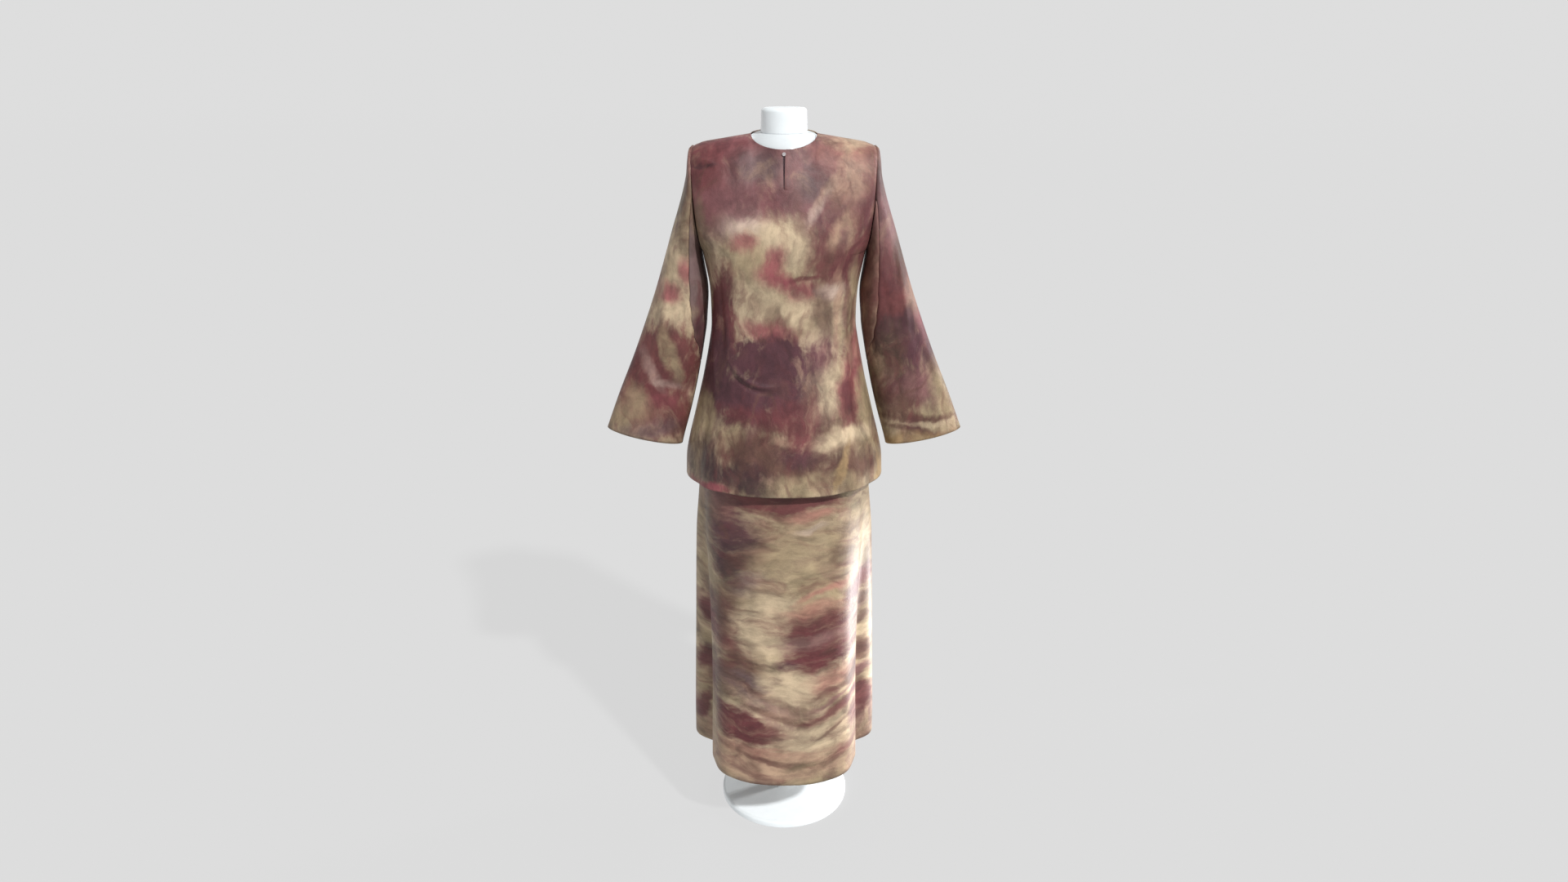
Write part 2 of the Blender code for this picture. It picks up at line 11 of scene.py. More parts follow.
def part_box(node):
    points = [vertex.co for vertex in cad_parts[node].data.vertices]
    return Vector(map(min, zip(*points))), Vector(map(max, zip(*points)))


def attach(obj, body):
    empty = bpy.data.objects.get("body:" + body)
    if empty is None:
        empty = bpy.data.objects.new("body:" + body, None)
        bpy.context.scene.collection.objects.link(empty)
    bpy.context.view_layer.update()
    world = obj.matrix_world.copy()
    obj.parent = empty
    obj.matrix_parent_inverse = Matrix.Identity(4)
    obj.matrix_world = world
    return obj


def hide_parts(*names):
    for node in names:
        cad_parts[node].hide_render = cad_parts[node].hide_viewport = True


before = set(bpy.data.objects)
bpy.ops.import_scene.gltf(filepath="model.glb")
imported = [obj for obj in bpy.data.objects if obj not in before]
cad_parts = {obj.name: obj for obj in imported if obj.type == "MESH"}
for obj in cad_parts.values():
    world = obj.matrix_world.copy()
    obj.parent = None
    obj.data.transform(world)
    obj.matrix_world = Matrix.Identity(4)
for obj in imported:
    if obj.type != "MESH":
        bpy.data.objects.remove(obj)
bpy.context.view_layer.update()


def named_rows(kind, *table):
    """A table whose rows of plain numbers get names."""
    return tuple(kind(*row) for row in table)


# The tunic's cut, one row for each section from the hem up
Section = namedtuple("Section", "height half_width front back")
TUNIC_SECTIONS = named_rows(
    Section,
    (0.8350, 0.2105, 0.1720, 0.1600),
    (0.8860, 0.2072, 0.1655, 0.1530),
    (0.9690, 0.1873, 0.1500, 0.1370),
    (1.0500, 0.1679, 0.1320, 0.1140),
    (1.1290, 0.1523, 0.1180, 0.0930),
    (1.1636, 0.1480, 0.1155, 0.0880),
    (1.2320, 0.1500, 0.1205, 0.0885),
    (1.3000, 0.1625, 0.1290, 0.0945),
    (1.3500, 0.1705, 0.1245, 0.0975),
    (1.4115, 0.1765, 0.1060, 0.0970),
    (1.4700, 0.1785, 0.0850, 0.0900),
)
SHOULDER_X = 0.1800
SHOULDER_Z = 1.5130
NECK_X = 0.0644
NECK_Z = 1.5320
NECK_FRONT = 0.0750
NECK_FRONT_Z = 1.5070
NECK_BACK = 0.0550
NECK_BACK_Z = 1.5380
NECK_RISE = radians(68)
UNDERARM_Z = 1.3100
ARMHOLE_DEPTH = 0.0650
YOKE_REACH = 0.4
CHEST_STEP = 0.0100
CHEST_Z = (UNDERARM_Z + SHOULDER_Z) / 2

# How far the shoulder's corner is drawn in and down, and how far round it that reaches
SHOULDER_ROUND = 0.0065
SHOULDER_IN = 0.6
SHOULDER_DOWN = 0.8
SHOULDER_SPREAD = 0.0140

# Grid steps of the tunic, up its body, its armhole and its yoke, and across from the middle
BODY_STEPS = 150
ARMHOLE_STEPS = 28
YOKE_STEPS = 40
NECK_STEPS = 24
SIDE_STEPS = 48

FRONT, BACK = -1, 1
TunicFold = namedtuple("TunicFold", "side place spread depth top")
TUNIC_FOLDS = named_rows(
    TunicFold,
    (FRONT, 0.87, 0.080, 0.0060, 1.27),
    (FRONT, 0.60, 0.110, 0.0035, 1.06),
    (FRONT, -0.88, 0.080, 0.0055, 1.24),
    (FRONT, -0.56, 0.120, 0.0035, 1.02),
    (BACK, 0.80, 0.110, 0.0070, 1.22),
    (BACK, 0.34, 0.140, 0.0060, 1.12),
    (BACK, -0.30, 0.130, 0.0050, 1.15),
    (BACK, -0.78, 0.110, 0.0070, 1.20),
)

# Keyhole slit and button
SLIT_TOP = 1.4970
SLIT_LOW = 1.4355
SLIT_WIDTH = 0.0056
SLIT_TIP = 0.0010
SLIT_TURNED = 0.0008
SLIT_TURN_TOP = 0.0004
SLIT_TURN_LOW = 0.0016
SLIT_DRAWN_COLUMNS = 6
SLIT_BESIDE = 0.012
SLIT_BELOW = 0.010
SLIT_ABOVE = 0.006
EASED_FROM_Z = CHEST_Z - 0.02
EASED_TIMES = 22
BUTTON_THICK = 0.0024
BUTTON_PROFILE = (
    (0.0, -0.0012),
    (0.88, -0.0012),
    (1.0, -0.0006),
    (1.0, 0.0004),
    (0.9, 0.0011),
    (0.78, 0.0011),
    (0.66, 0.0007),
    (0.30, 0.0009),
    (0.0, 0.0010),
)

# Sleeve rings from the armhole, 0, to the cuff, 1
Ring = namedtuple("Ring", "down outer_x outer_z clear inner_z half_depth swell")
SLEEVE_RINGS = named_rows(
    Ring,
    (0.00, 0.1804, 1.5130, 0.0004, 1.3100, 0.0650, 0.0000),
    (0.02, 0.1850, 1.5080, 0.0008, 1.3080, 0.0654, 0.0012),
    (0.05, 0.1882, 1.4900, 0.0016, 1.3040, 0.0656, 0.0028),
    (0.10, 0.1925, 1.4580, 0.0024, 1.2960, 0.0655, 0.0045),
    (0.20, 0.2083, 1.3990, 0.0032, 1.2720, 0.0645, 0.0050),
    (0.35, 0.2372, 1.3030, 0.0048, 1.2240, 0.0610, 0.0030),
    (0.50, 0.2660, 1.2130, 0.0100, 1.1630, 0.0560, 0.0000),
    (0.68, 0.3075, 1.1010, 0.0102, 1.0800, 0.0490, 0.0000),
    (0.85, 0.3470, 1.0060, 0.0092, 0.9880, 0.0430, 0.0000),
    (1.00, 0.3765, 0.9295, 0.0115, 0.8934, 0.0380, 0.0000),
)
ARMHOLE_BLEND = 0.12
SLEEVE_COLUMNS = 96
SLEEVE_ROWS = 130
SLEEVE_CROWDING = 1.15
SLEEVE_CREASED_FROM = 0.06
GUSSET_COLUMNS = 40
GUSSET_ROWS_FINE = 70
GUSSET_SHORT = 0.996

# Cloth lengths that a seam's dip is measured on: down the sleeve, and round it and the gusset
SLEEVE_LONG = 0.45
SLEEVE_ROUND = 0.30
GUSSET_ROUND = 0.20
GussetRow = namedtuple("GussetRow", "down half_angle")
GUSSET_ROWS = named_rows(
    GussetRow,
    (0.000, radians(90)),
    (0.050, radians(87)),
    (0.100, radians(84)),
    (0.200, radians(80)),
    (0.310, radians(76)),
    (0.420, radians(70)),
    (0.500, radians(61)),
    (0.570, radians(48)),
    (0.640, radians(24)),
    (0.690, radians(0)),
)
GUSSET_END = GUSSET_ROWS[-1].down

# The skirt's cut, one row for each section from the hem up, and its hanging folds
SKIRT_SECTIONS = named_rows(
    Section,
    (0.1760, 0.2097, 0.2230, 0.1950),
    (0.2600, 0.2083, 0.2150, 0.1900),
    (0.4580, 0.2018, 0.1980, 0.1780),
    (0.7000, 0.1930, 0.1690, 0.1560),
    (0.7900, 0.1850, 0.1570, 0.1450),
    (0.8350, 0.1815, 0.1500, 0.1380),
    (0.9000, 0.1745, 0.1400, 0.1280),
    (1.0000, 0.1580, 0.1190, 0.1030),
    (1.0400, 0.1500, 0.1085, 0.0920),
    (1.0997, 0.1374, 0.0934, 0.0749),
)
SKIRT_COLUMNS = 190
SKIRT_ROWS = 110
SkirtFold = namedtuple("SkirtFold", "angle spread depth")
SKIRT_FOLDS = named_rows(
    SkirtFold,
    (radians(342), radians(9.0), 0.0400),
    (radians(327), radians(11.0), 0.0180),
    (radians(198), radians(9.0), 0.0400),
    (radians(213), radians(11.0), 0.0180),
    (radians(22), radians(10.0), 0.0300),
    (radians(66), radians(9.0), 0.0170),
    (radians(112), radians(10.0), 0.0200),
    (radians(157), radians(10.0), 0.0310),
)
FOLD_TOP = 0.9700
FOLD_FULL = 0.3000

# Dress form
FORM_SECTIONS = named_rows(
    Section,
    (0.8000, 0.1400, 0.0980, 0.0880),
    (0.8500, 0.1520, 0.1120, 0.1010),
    (0.9400, 0.1590, 0.1180, 0.1060),
    (1.0250, 0.1470, 0.1050, 0.0890),
    (1.1000, 0.1350, 0.0910, 0.0725),
    (1.1300, 0.1320, 0.0885, 0.0700),
    (1.1700, 0.1310, 0.0900, 0.0700),
    (1.2400, 0.1400, 0.1080, 0.0770),
    (1.3100, 0.1560, 0.1240, 0.0890),
    (1.3600, 0.1640, 0.1160, 0.0920),
    (1.4115, 0.1690, 0.0980, 0.0905),
)
FORM_SHOULDER_X = 0.1720
FORM_ARMHOLE_DEPTH = 0.0627
FORM_CREST = radians(10)
FORM_DROP = 0.0019
FORM_NECK_RADIUS = 0.0470
BAND_LOW = 1.1000
BAND_TOP = 1.1300
BAND_OUT = 0.0024
BAND_ROWS = 8
FORM_TOP = 1.5327
FORM_SHARP = radians(50)
TURNED_SHARP = radians(40)
NECK_BEVEL = 0.0006
NECK_TAPER = 0.0008
NECK_ROUND = 0.0080
BASE_ROUND_LOW = 0.0020
BASE_ROUND_TOP = 0.0062
QUARTER_STEPS = 8

# How full a section is at its sides, its middle and the chest, and how near the edge it parts
BOW_SIDE = 2.3
BOW_MIDDLE = 2.2
BOW_CHEST = 1.5
EDGE_POWER = 6

# A sewn seam's dip, the cloth's thickness, and what counts as one point
SEAM_DIP = 0.0013
SEAM_SPREAD = 0.0045
CLOTH = 0.0011
TINY = 0.00002

BodyShape = namedtuple("BodyShape", "sections low shoulder_x armhole_depth drop crest folds")
TUNIC = BodyShape(
    TUNIC_SECTIONS, TUNIC_SECTIONS[0].height, SHOULDER_X, ARMHOLE_DEPTH, 0.0, 0.0, TUNIC_FOLDS
)
FORM = BodyShape(
    FORM_SECTIONS,
    FORM_SECTIONS[0].height,
    FORM_SHOULDER_X,
    FORM_ARMHOLE_DEPTH,
    FORM_DROP,
    FORM_CREST,
    (),
)

# Dyes by name, as red, green and blue out of 255, also used for some painted shade and painted
# light
DYE_AND_PAINTED_LIGHT_COLOURS = {
    "cream": (186, 166, 138),
    "pale": (196, 174, 160),
    "khaki": (150, 132, 104),
    "gold": (164, 136, 98),
    "olive": (108, 92, 72),
    "dark_olive": (70, 56, 42),
    "rose": (138, 70, 78),
    "salmon": (158, 112, 98),
    "peach": (168, 138, 116),
    "maroon": (98, 50, 52),
    "brown": (92, 62, 54),
    "plum": (80, 48, 54),
    "deep_plum": (58, 38, 42),
    "mauve": (118, 78, 80),
    "grey_mauve": (106, 86, 86),
}

# The form's gloss white where it is clean and where it is dusty, and the button's pearl
CLEAN_WHITE = (0.93, 0.98, 1.0)
DUSTY_WHITE = (0.88, 0.93, 0.95)
PEARL_DARK = (0.36, 0.33, 0.34, 1)
PEARL_LIGHT = (0.56, 0.53, 0.54, 1)

# How far dye soaks past a patch, as a share of the patch's half size
SOAK = 1.22

# How the cloth was crushed: streaks run up the tunic and across the skirt
VERTICAL_CRUSH = (1.0, 1.0, 0.58)
LEVEL_CRUSH = (0.42, 0.42, 1.10)

# Noises: those that wander move a place about by a size in metres
Wander = namedtuple("Wander", "scale size detail roughness")
BROAD = Wander(5.5, 0.056, 2.0, 0.5)
CURL = Wander(17.0, 0.024, 3.0, 0.55)
FEATHER = Wander(60.0, 0.013, 4.0, 0.65)
Grain = namedtuple("Grain", "scale detail roughness distortion")
TONE = Grain(8.0, 5.0, 0.6, 0.5)
CLOUD = Grain(7.5, 6.0, 0.62, 0.8)
RAGGED = Grain(15.0, 7.0, 0.64, 0.3)
FRINGE = Grain(60.0, 3.0, 0.55, 0.0)
HUE = Grain(19.0, 6.0, 0.62, 0.6)
WISP = Grain(12.0, 1.5, 0.5, 0.5)
GATE = Grain(9.0, 3.0, 0.5, 0.0)
MOTTLE = Grain(30.0, 8.0, 0.68, 0.3)
CREPE = Grain(420.0, 3.0, 0.6, 0.0)
RUCK = Grain(60.0, 4.0, 0.55, 0.0)

# How much each noise frays a patch's edge, and the weave's threads
RAGGED_SIZE = 1.6
FRINGE_SIZE = 1.1
FRINGE_STRETCH = 1.5
WEAVE_SCALE = 230.0

# Clouds of dye, each where one part of a noise runs from low to high
Cloud = namedtuple("Cloud", "dye low high strength")
GROUND_CLOUDS = named_rows(
    Cloud,
    ("mauve", 0.50, 0.66, 0.65),
    ("brown", 0.53, 0.68, 0.65),
    ("olive", 0.54, 0.68, 0.60),
)
HUE_CLOUDS = named_rows(
    Cloud,
    ("maroon", 0.50, 0.68, 0.50),
    ("peach", 0.54, 0.72, 0.40),
    ("plum", 0.52, 0.70, 0.35),
)

# A patch of dye, some also painted shade or light where noted: its middle across and up, its half
# sizes, its turn in degrees, its dye, how strong it is and how soft its edge
Patch = namedtuple("Patch", "x z wide tall turn dye strength soft")
TUNIC_FRONT_PATCHES = named_rows(
    Patch,
    (0.000, 1.461, 0.181, 0.078, 0, "mauve", 0.95, 0.35),
    (-0.130, 1.399, 0.052, 0.052, 0, "mauve", 0.80, 0.60),
    (0.116, 1.360, 0.063, 0.089, 0, "mauve", 0.85, 0.60),
    (-0.126, 1.514, 0.063, 0.024, 0, "rose", 0.50, 0.90),
    (-0.157, 1.437, 0.035, 0.068, 0, "maroon", 0.60, 0.80),
    (-0.046, 1.475, 0.039, 0.026, 0, "grey_mauve", 0.85, 0.80),
    (0.047, 1.451, 0.031, 0.028, 0, "grey_mauve", 0.80, 0.80),
    (0.137, 1.495, 0.047, 0.042, 0, "salmon", 0.60, 0.80),
    (0.162, 1.437, 0.014, 0.069, -4, "maroon", 0.50, 0.90),
    (0.059, 1.404, 0.006, 0.040, -32, "pale", 0.60, 0.95),
    (0.108, 1.462, 0.010, 0.050, -22, "peach", 0.70, 0.90),
    (0.082, 1.452, 0.006, 0.040, -30, "peach", 0.60, 0.90),
    (0.126, 1.444, 0.020, 0.036, -25, "peach", 0.70, 0.85),
    (0.138, 1.522, 0.034, 0.008, -8, "cream", 0.60, 0.90),
    (-0.074, 1.364, 0.032, 0.026, 0, "pale", 0.65, 0.90),
    (-0.070, 1.410, 0.060, 0.024, 0, "mauve", 0.80, 0.80),
    (-0.052, 1.280, 0.063, 0.050, 0, "khaki", 0.80, 0.60),
    (-0.007, 1.346, 0.038, 0.034, 0, "cream", 1.00, 0.60),
    (0.019, 1.315, 0.024, 0.026, 0, "cream", 0.85, 0.60),
    (-0.082, 1.330, 0.020, 0.013, 0, "rose", 0.80, 0.80),
    (-0.153, 1.346, 0.008, 0.053, 0, "olive", 0.75, 0.80),
    (0.116, 1.340, 0.052, 0.066, 10, "maroon", 0.80, 0.60),
    (0.105, 1.353, 0.018, 0.044, -18, "peach", 0.90, 0.60),
    (0.104, 1.340, 0.007, 0.026, -15, "mauve", 0.70, 0.80),
    (0.087, 1.295, 0.031, 0.027, 0, "maroon", 0.85, 0.80),
    (0.043, 1.267, 0.044, 0.004, 8, "maroon", 0.80, 0.90),
    (-0.020, 1.297, 0.016, 0.022, 0, "rose", 0.85, 0.80),
    (-0.009, 1.263, 0.031, 0.015, -20, "rose", 0.85, 0.80),
    (0.039, 1.237, 0.025, 0.015, 20, "rose", 0.80, 0.80),
    (0.088, 1.238, 0.018, 0.012, 0, "pale", 0.85, 0.80),
    (-0.063, 1.222, 0.049, 0.035, 0, "cream", 0.80, 0.50),
    (0.025, 1.191, 0.030, 0.027, 0, "cream", 0.85, 0.60),
    (0.075, 1.203, 0.017, 0.048, 0, "brown", 0.70, 0.80),
    (0.103, 1.179, 0.006, 0.070, 0, "peach", 0.75, 0.80),
    (0.119, 1.200, 0.005, 0.065, 2, "maroon", 0.70, 0.90),
    (0.132, 1.215, 0.008, 0.059, 0, "khaki", 0.85, 0.80),
    (-0.120, 1.177, 0.028, 0.086, 0, "maroon", 1.00, 0.50),
    (-0.131, 1.060, 0.038, 0.088, 0, "plum", 0.95, 0.60),
    (-0.026, 1.166, 0.051, 0.020, -14, "rose", 0.85, 0.60),
    (-0.021, 1.116, 0.097, 0.036, -6, "plum", 1.00, 0.35),
    (-0.038, 1.036, 0.101, 0.050, 0, "plum", 1.00, 0.40),
    (-0.054, 0.992, 0.071, 0.016, -6, "maroon", 0.75, 0.70),
    (0.076, 1.115, 0.027, 0.030, 0, "mauve", 0.75, 0.80),
    (0.081, 1.044, 0.034, 0.039, 0, "cream", 0.95, 0.60),
    (0.046, 1.080, 0.030, 0.050, 0, "plum", 0.85, 0.70),
    (0.030, 0.995, 0.040, 0.030, 0, "maroon", 0.80, 0.70),
    (0.144, 1.069, 0.018, 0.083, -3, "rose", 0.80, 0.70),
    (0.142, 1.003, 0.013, 0.055, 0, "maroon", 0.75, 0.70),
    (0.177, 0.983, 0.010, 0.057, 0, "khaki", 0.90, 0.70),
    (-0.159, 0.975, 0.022, 0.037, 0, "khaki", 0.90, 0.60),
    (-0.177, 0.889, 0.025, 0.034, 0, "olive", 0.80, 0.70),
    (-0.021, 0.913, 0.115, 0.042, 0, "brown", 0.95, 0.60),
    (0.002, 0.947, 0.020, 0.007, -8, "peach", 0.70, 0.90),
    (0.040, 0.949, 0.018, 0.022, 0, "rose", 0.55, 0.90),
    (0.033, 0.919, 0.033, 0.018, 0, "plum", 0.80, 0.80),
    (-0.152, 0.868, 0.028, 0.032, 0, "deep_plum", 0.80, 0.80),
    (-0.077, 0.862, 0.053, 0.024, 0, "deep_plum", 0.90, 0.60),
    (0.153, 0.885, 0.045, 0.034, 0, "brown", 0.90, 0.60),
    (0.124, 0.952, 0.048, 0.013, 0, "cream", 0.95, 0.60),
    (0.040, 0.960, 0.030, 0.018, 0, "maroon", 0.70, 0.80),
    (0.067, 0.856, 0.072, 0.019, 0, "khaki", 0.85, 0.70),
    (0.120, 0.889, 0.006, 0.042, -14, "gold", 0.80, 0.80),
    # A gold streak on the tunic's right edge near the hem: dye, and also painted light from the
    # right.
    (0.200, 0.850, 0.009, 0.044, 0, "gold", 0.90, 0.70),
    (-0.146, 0.837, 0.034, 0.010, 0, "rose", 0.90, 0.60),
    (-0.152, 1.492, 0.050, 0.030, 0, "maroon", 0.60, 0.80),
    # A thin deep plum line in the left shoulder's pucker: painted shade in the crease.
    (-0.155, 1.477, 0.020, 0.0028, -4, "deep_plum", 0.65, 0.90),
)
TUNIC_BACK_PATCHES = named_rows(
    Patch,
    (0.000, 1.450, 0.190, 0.060, 0, "mauve", 0.80, 0.40),
    (0.110, 1.500, 0.070, 0.030, 0, "rose", 0.70, 0.80),
    (-0.120, 1.480, 0.060, 0.040, 0, "salmon", 0.75, 0.80),
    (-0.020, 1.490, 0.050, 0.030, 0, "grey_mauve", 0.80, 0.80),
    (0.060, 1.390, 0.050, 0.040, 20, "maroon", 0.75, 0.70),
    (-0.060, 1.350, 0.060, 0.050, 0, "cream", 0.95, 0.50),
    (0.090, 1.300, 0.040, 0.060, 0, "khaki", 0.80, 0.60),
    (-0.120, 1.300, 0.030, 0.060, 0, "mauve", 0.70, 0.80),
    (0.010, 1.270, 0.040, 0.026, -20, "rose", 0.85, 0.70),
    (0.030, 1.200, 0.090, 0.050, 0, "plum", 0.90, 0.35),
    (-0.080, 1.190, 0.040, 0.040, 0, "cream", 0.80, 0.60),
    (0.128, 1.150, 0.024, 0.100, 0, "olive", 0.80, 0.70),
    (-0.040, 1.100, 0.080, 0.040, 10, "maroon", 0.85, 0.40),
    (0.070, 1.080, 0.050, 0.040, 0, "cream", 0.90, 0.50),
    (-0.130, 1.060, 0.020, 0.090, 0, "rose", 0.70, 0.80),
    (0.020, 1.010, 0.100, 0.030, -5, "brown", 0.80, 0.60),
    (-0.100, 0.970, 0.060, 0.040, 0, "khaki", 0.90, 0.60),
    (0.120, 0.960, 0.050, 0.050, 0, "plum", 0.85, 0.60),
    (0.000, 0.930, 0.060, 0.026, 0, "peach", 0.80, 0.60),
    (-0.060, 0.880, 0.070, 0.030, 0, "deep_plum", 0.80, 0.60),
    (0.100, 0.870, 0.070, 0.024, 0, "gold", 0.90, 0.60),
)
SKIRT_FRONT_PATCHES = named_rows(
    Patch,
    (-0.014, 0.717, 0.147, 0.136, 0, "khaki", 0.65, 0.60),
    # A maroon band just under the tunic's hem: dye, and also painted shadow of the hem.
    (-0.019, 0.815, 0.104, 0.022, 0, "maroon", 0.95, 0.50),
    (0.059, 0.793, 0.040, 0.008, 10, "salmon", 0.80, 0.80),
    (-0.140, 0.803, 0.029, 0.035, 0, "mauve", 0.80, 0.90),
    (-0.157, 0.749, 0.016, 0.069, 0, "olive", 0.75, 0.80),
    (-0.124, 0.773, 0.021, 0.021, 0, "salmon", 0.55, 0.90),
    (-0.098, 0.731, 0.047, 0.047, 0, "plum", 0.95, 0.70),
    (-0.107, 0.680, 0.030, 0.040, -20, "deep_plum", 0.90, 0.70),
    (-0.072, 0.637, 0.032, 0.018, 30, "grey_mauve", 0.80, 0.80),
    (0.012, 0.695, 0.068, 0.031, 0, "khaki", 0.60, 0.80),
    (0.059, 0.764, 0.021, 0.006, 20, "pale", 0.45, 0.90),
    (-0.121, 0.589, 0.032, 0.032, 0, "brown", 0.85, 0.80),
    (-0.115, 0.528, 0.036, 0.038, -25, "brown", 0.90, 0.70),
    (-0.106, 0.478, 0.038, 0.022, -25, "maroon", 0.70, 0.70),
    (-0.034, 0.550, 0.052, 0.069, 0, "cream", 0.95, 0.55),
    (0.087, 0.623, 0.053, 0.006, 20, "salmon", 0.85, 0.90),
    (0.069, 0.581, 0.062, 0.015, 8, "salmon", 0.80, 0.80),
    (0.082, 0.517, 0.070, 0.027, 10, "mauve", 0.85, 0.70),
    (0.073, 0.551, 0.068, 0.019, 8, "maroon", 0.95, 0.60),
    (0.067, 0.473, 0.073, 0.024, 14, "maroon", 1.00, 0.50),
    (0.007, 0.465, 0.027, 0.010, 8, "plum", 0.90, 0.70),
    (-0.030, 0.455, 0.034, 0.006, -6, "dark_olive", 0.90, 0.80),
    (0.099, 0.422, 0.049, 0.016, 12, "salmon", 0.70, 0.80),
    (0.100, 0.396, 0.049, 0.008, 12, "brown", 0.75, 0.80),
    (-0.107, 0.419, 0.054, 0.035, 0, "brown", 0.90, 0.70),
    (-0.074, 0.402, 0.043, 0.022, -20, "grey_mauve", 0.80, 0.80),
    (-0.055, 0.390, 0.060, 0.007, -22, "brown", 0.80, 0.90),
    (0.005, 0.415, 0.045, 0.035, 0, "cream", 0.95, 0.60),
    (-0.020, 0.342, 0.065, 0.006, -18, "brown", 0.80, 0.90),
    (0.036, 0.332, 0.024, 0.005, 4, "dark_olive", 0.80, 0.90),
    (0.101, 0.343, 0.055, 0.011, 16, "maroon", 0.85, 0.80),
    (0.106, 0.372, 0.044, 0.005, 20, "mauve", 0.75, 0.90),
    (-0.086, 0.310, 0.075, 0.031, -12, "maroon", 1.00, 0.45),
    (0.008, 0.291, 0.035, 0.012, -12, "maroon", 0.85, 0.70),
    (0.068, 0.287, 0.060, 0.025, 0, "cream", 0.90, 0.60),
    (0.112, 0.298, 0.039, 0.004, 24, "brown", 0.60, 0.90),
    (-0.064, 0.254, 0.072, 0.013, -5, "salmon", 0.75, 0.80),
    (-0.042, 0.215, 0.132, 0.028, 0, "peach", 0.80, 0.60),
    (-0.031, 0.232, 0.069, 0.005, -12, "brown", 0.75, 0.90),
    (0.055, 0.216, 0.036, 0.006, 2, "olive", 0.85, 0.90),
    (0.113, 0.221, 0.036, 0.007, 20, "brown", 0.75, 0.90),
    (0.136, 0.233, 0.022, 0.011, 20, "maroon", 0.60, 0.80),
    (-0.168, 0.637, 0.022, 0.022, 0, "khaki", 0.80, 0.70),
    (-0.169, 0.519, 0.024, 0.027, 0, "maroon", 0.95, 0.60),
    (-0.170, 0.443, 0.024, 0.014, -30, "khaki", 0.80, 0.70),
    (-0.172, 0.384, 0.024, 0.031, -28, "maroon", 0.95, 0.60),
    (-0.169, 0.315, 0.020, 0.039, 0, "khaki", 0.85, 0.70),
    (-0.189, 0.268, 0.011, 0.034, -25, "maroon", 0.90, 0.60),
    (0.165, 0.706, 0.021, 0.053, 0, "cream", 0.70, 0.80),
    (0.167, 0.599, 0.024, 0.024, 0, "maroon", 0.90, 0.60),
    (0.169, 0.537, 0.024, 0.007, 28, "brown", 0.80, 0.80),
    (0.170, 0.489, 0.024, 0.010, 28, "brown", 0.85, 0.80),
    (0.171, 0.415, 0.024, 0.024, 20, "brown", 0.95, 0.60),
    (0.172, 0.362, 0.025, 0.012, 20, "mauve", 0.85, 0.70),
    (0.174, 0.296, 0.025, 0.034, 10, "maroon", 0.95, 0.60),
)
SKIRT_BACK_PATCHES = named_rows(
    Patch,
    (0.000, 0.800, 0.150, 0.040, 0, "brown", 0.80, 0.60),
    (0.080, 0.730, 0.060, 0.060, 0, "plum", 0.85, 0.50),
    (-0.060, 0.700, 0.070, 0.050, 0, "cream", 0.90, 0.60),
    (-0.140, 0.660, 0.050, 0.030, 15, "maroon", 0.85, 0.50),
    (0.020, 0.620, 0.090, 0.016, -8, "salmon", 0.75, 0.70),
    (0.100, 0.580, 0.090, 0.028, -6, "maroon", 0.90, 0.50),
    (-0.070, 0.560, 0.070, 0.050, 0, "khaki", 0.80, 0.60),
    (-0.140, 0.500, 0.060, 0.030, 10, "plum", 0.85, 0.50),
    (0.030, 0.490, 0.060, 0.050, 0, "cream", 0.90, 0.60),
    (0.110, 0.450, 0.080, 0.010, 18, "brown", 0.80, 0.80),
    (-0.060, 0.420, 0.100, 0.008, -15, "brown", 0.80, 0.80),
    (0.060, 0.380, 0.120, 0.026, 6, "maroon", 0.90, 0.45),
    (-0.120, 0.350, 0.060, 0.036, 0, "khaki", 0.80, 0.60),
    (0.000, 0.310, 0.100, 0.012, -8, "salmon", 0.75, 0.80),
    (-0.080, 0.270, 0.090, 0.024, 5, "maroon", 0.90, 0.45),
    (0.110, 0.270, 0.060, 0.030, 0, "cream", 0.85, 0.60),
    (0.000, 0.210, 0.180, 0.028, 0, "peach", 0.70, 0.60),
    (0.040, 0.225, 0.110, 0.005, 7, "brown", 0.75, 0.90),
)
SLEEVE_LEFT_PATCHES = named_rows(
    Patch,
    (-0.192, 1.414, 0.027, 0.060, 12, "olive", 0.70, 0.70),
    (-0.186, 1.483, 0.016, 0.032, 0, "mauve", 0.70, 0.80),
    (-0.202, 1.325, 0.009, 0.014, 0, "dark_olive", 0.80, 0.90),
    (-0.228, 1.256, 0.045, 0.089, 18, "cream", 0.80, 0.60),
    (-0.201, 1.278, 0.012, 0.024, 0, "rose", 0.80, 0.80),
    (-0.239, 1.225, 0.019, 0.026, 15, "rose", 0.85, 0.80),
    (-0.236, 1.177, 0.047, 0.028, 0, "cream", 0.95, 0.60),
    (-0.252, 1.071, 0.097, 0.069, 20, "maroon", 0.95, 0.45),
    (-0.290, 0.981, 0.087, 0.052, 0, "maroon", 0.85, 0.60),
    (-0.236, 1.089, 0.010, 0.046, 14, "khaki", 0.85, 0.80),
    (-0.274, 1.060, 0.007, 0.036, 24, "pale", 0.30, 0.95),
    (-0.242, 1.024, 0.022, 0.005, -16, "pale", 0.28, 0.95),
    (-0.307, 0.993, 0.017, 0.035, 20, "khaki", 0.65, 0.80),
    (-0.344, 0.951, 0.028, 0.030, 20, "khaki", 0.80, 0.80),
    (-0.245, 0.940, 0.044, 0.034, 0, "maroon", 0.80, 0.70),
    (-0.255, 0.987, 0.023, 0.012, 0, "rose", 0.45, 0.90),
    (-0.286, 0.932, 0.053, 0.015, 0, "grey_mauve", 0.60, 0.80),
)
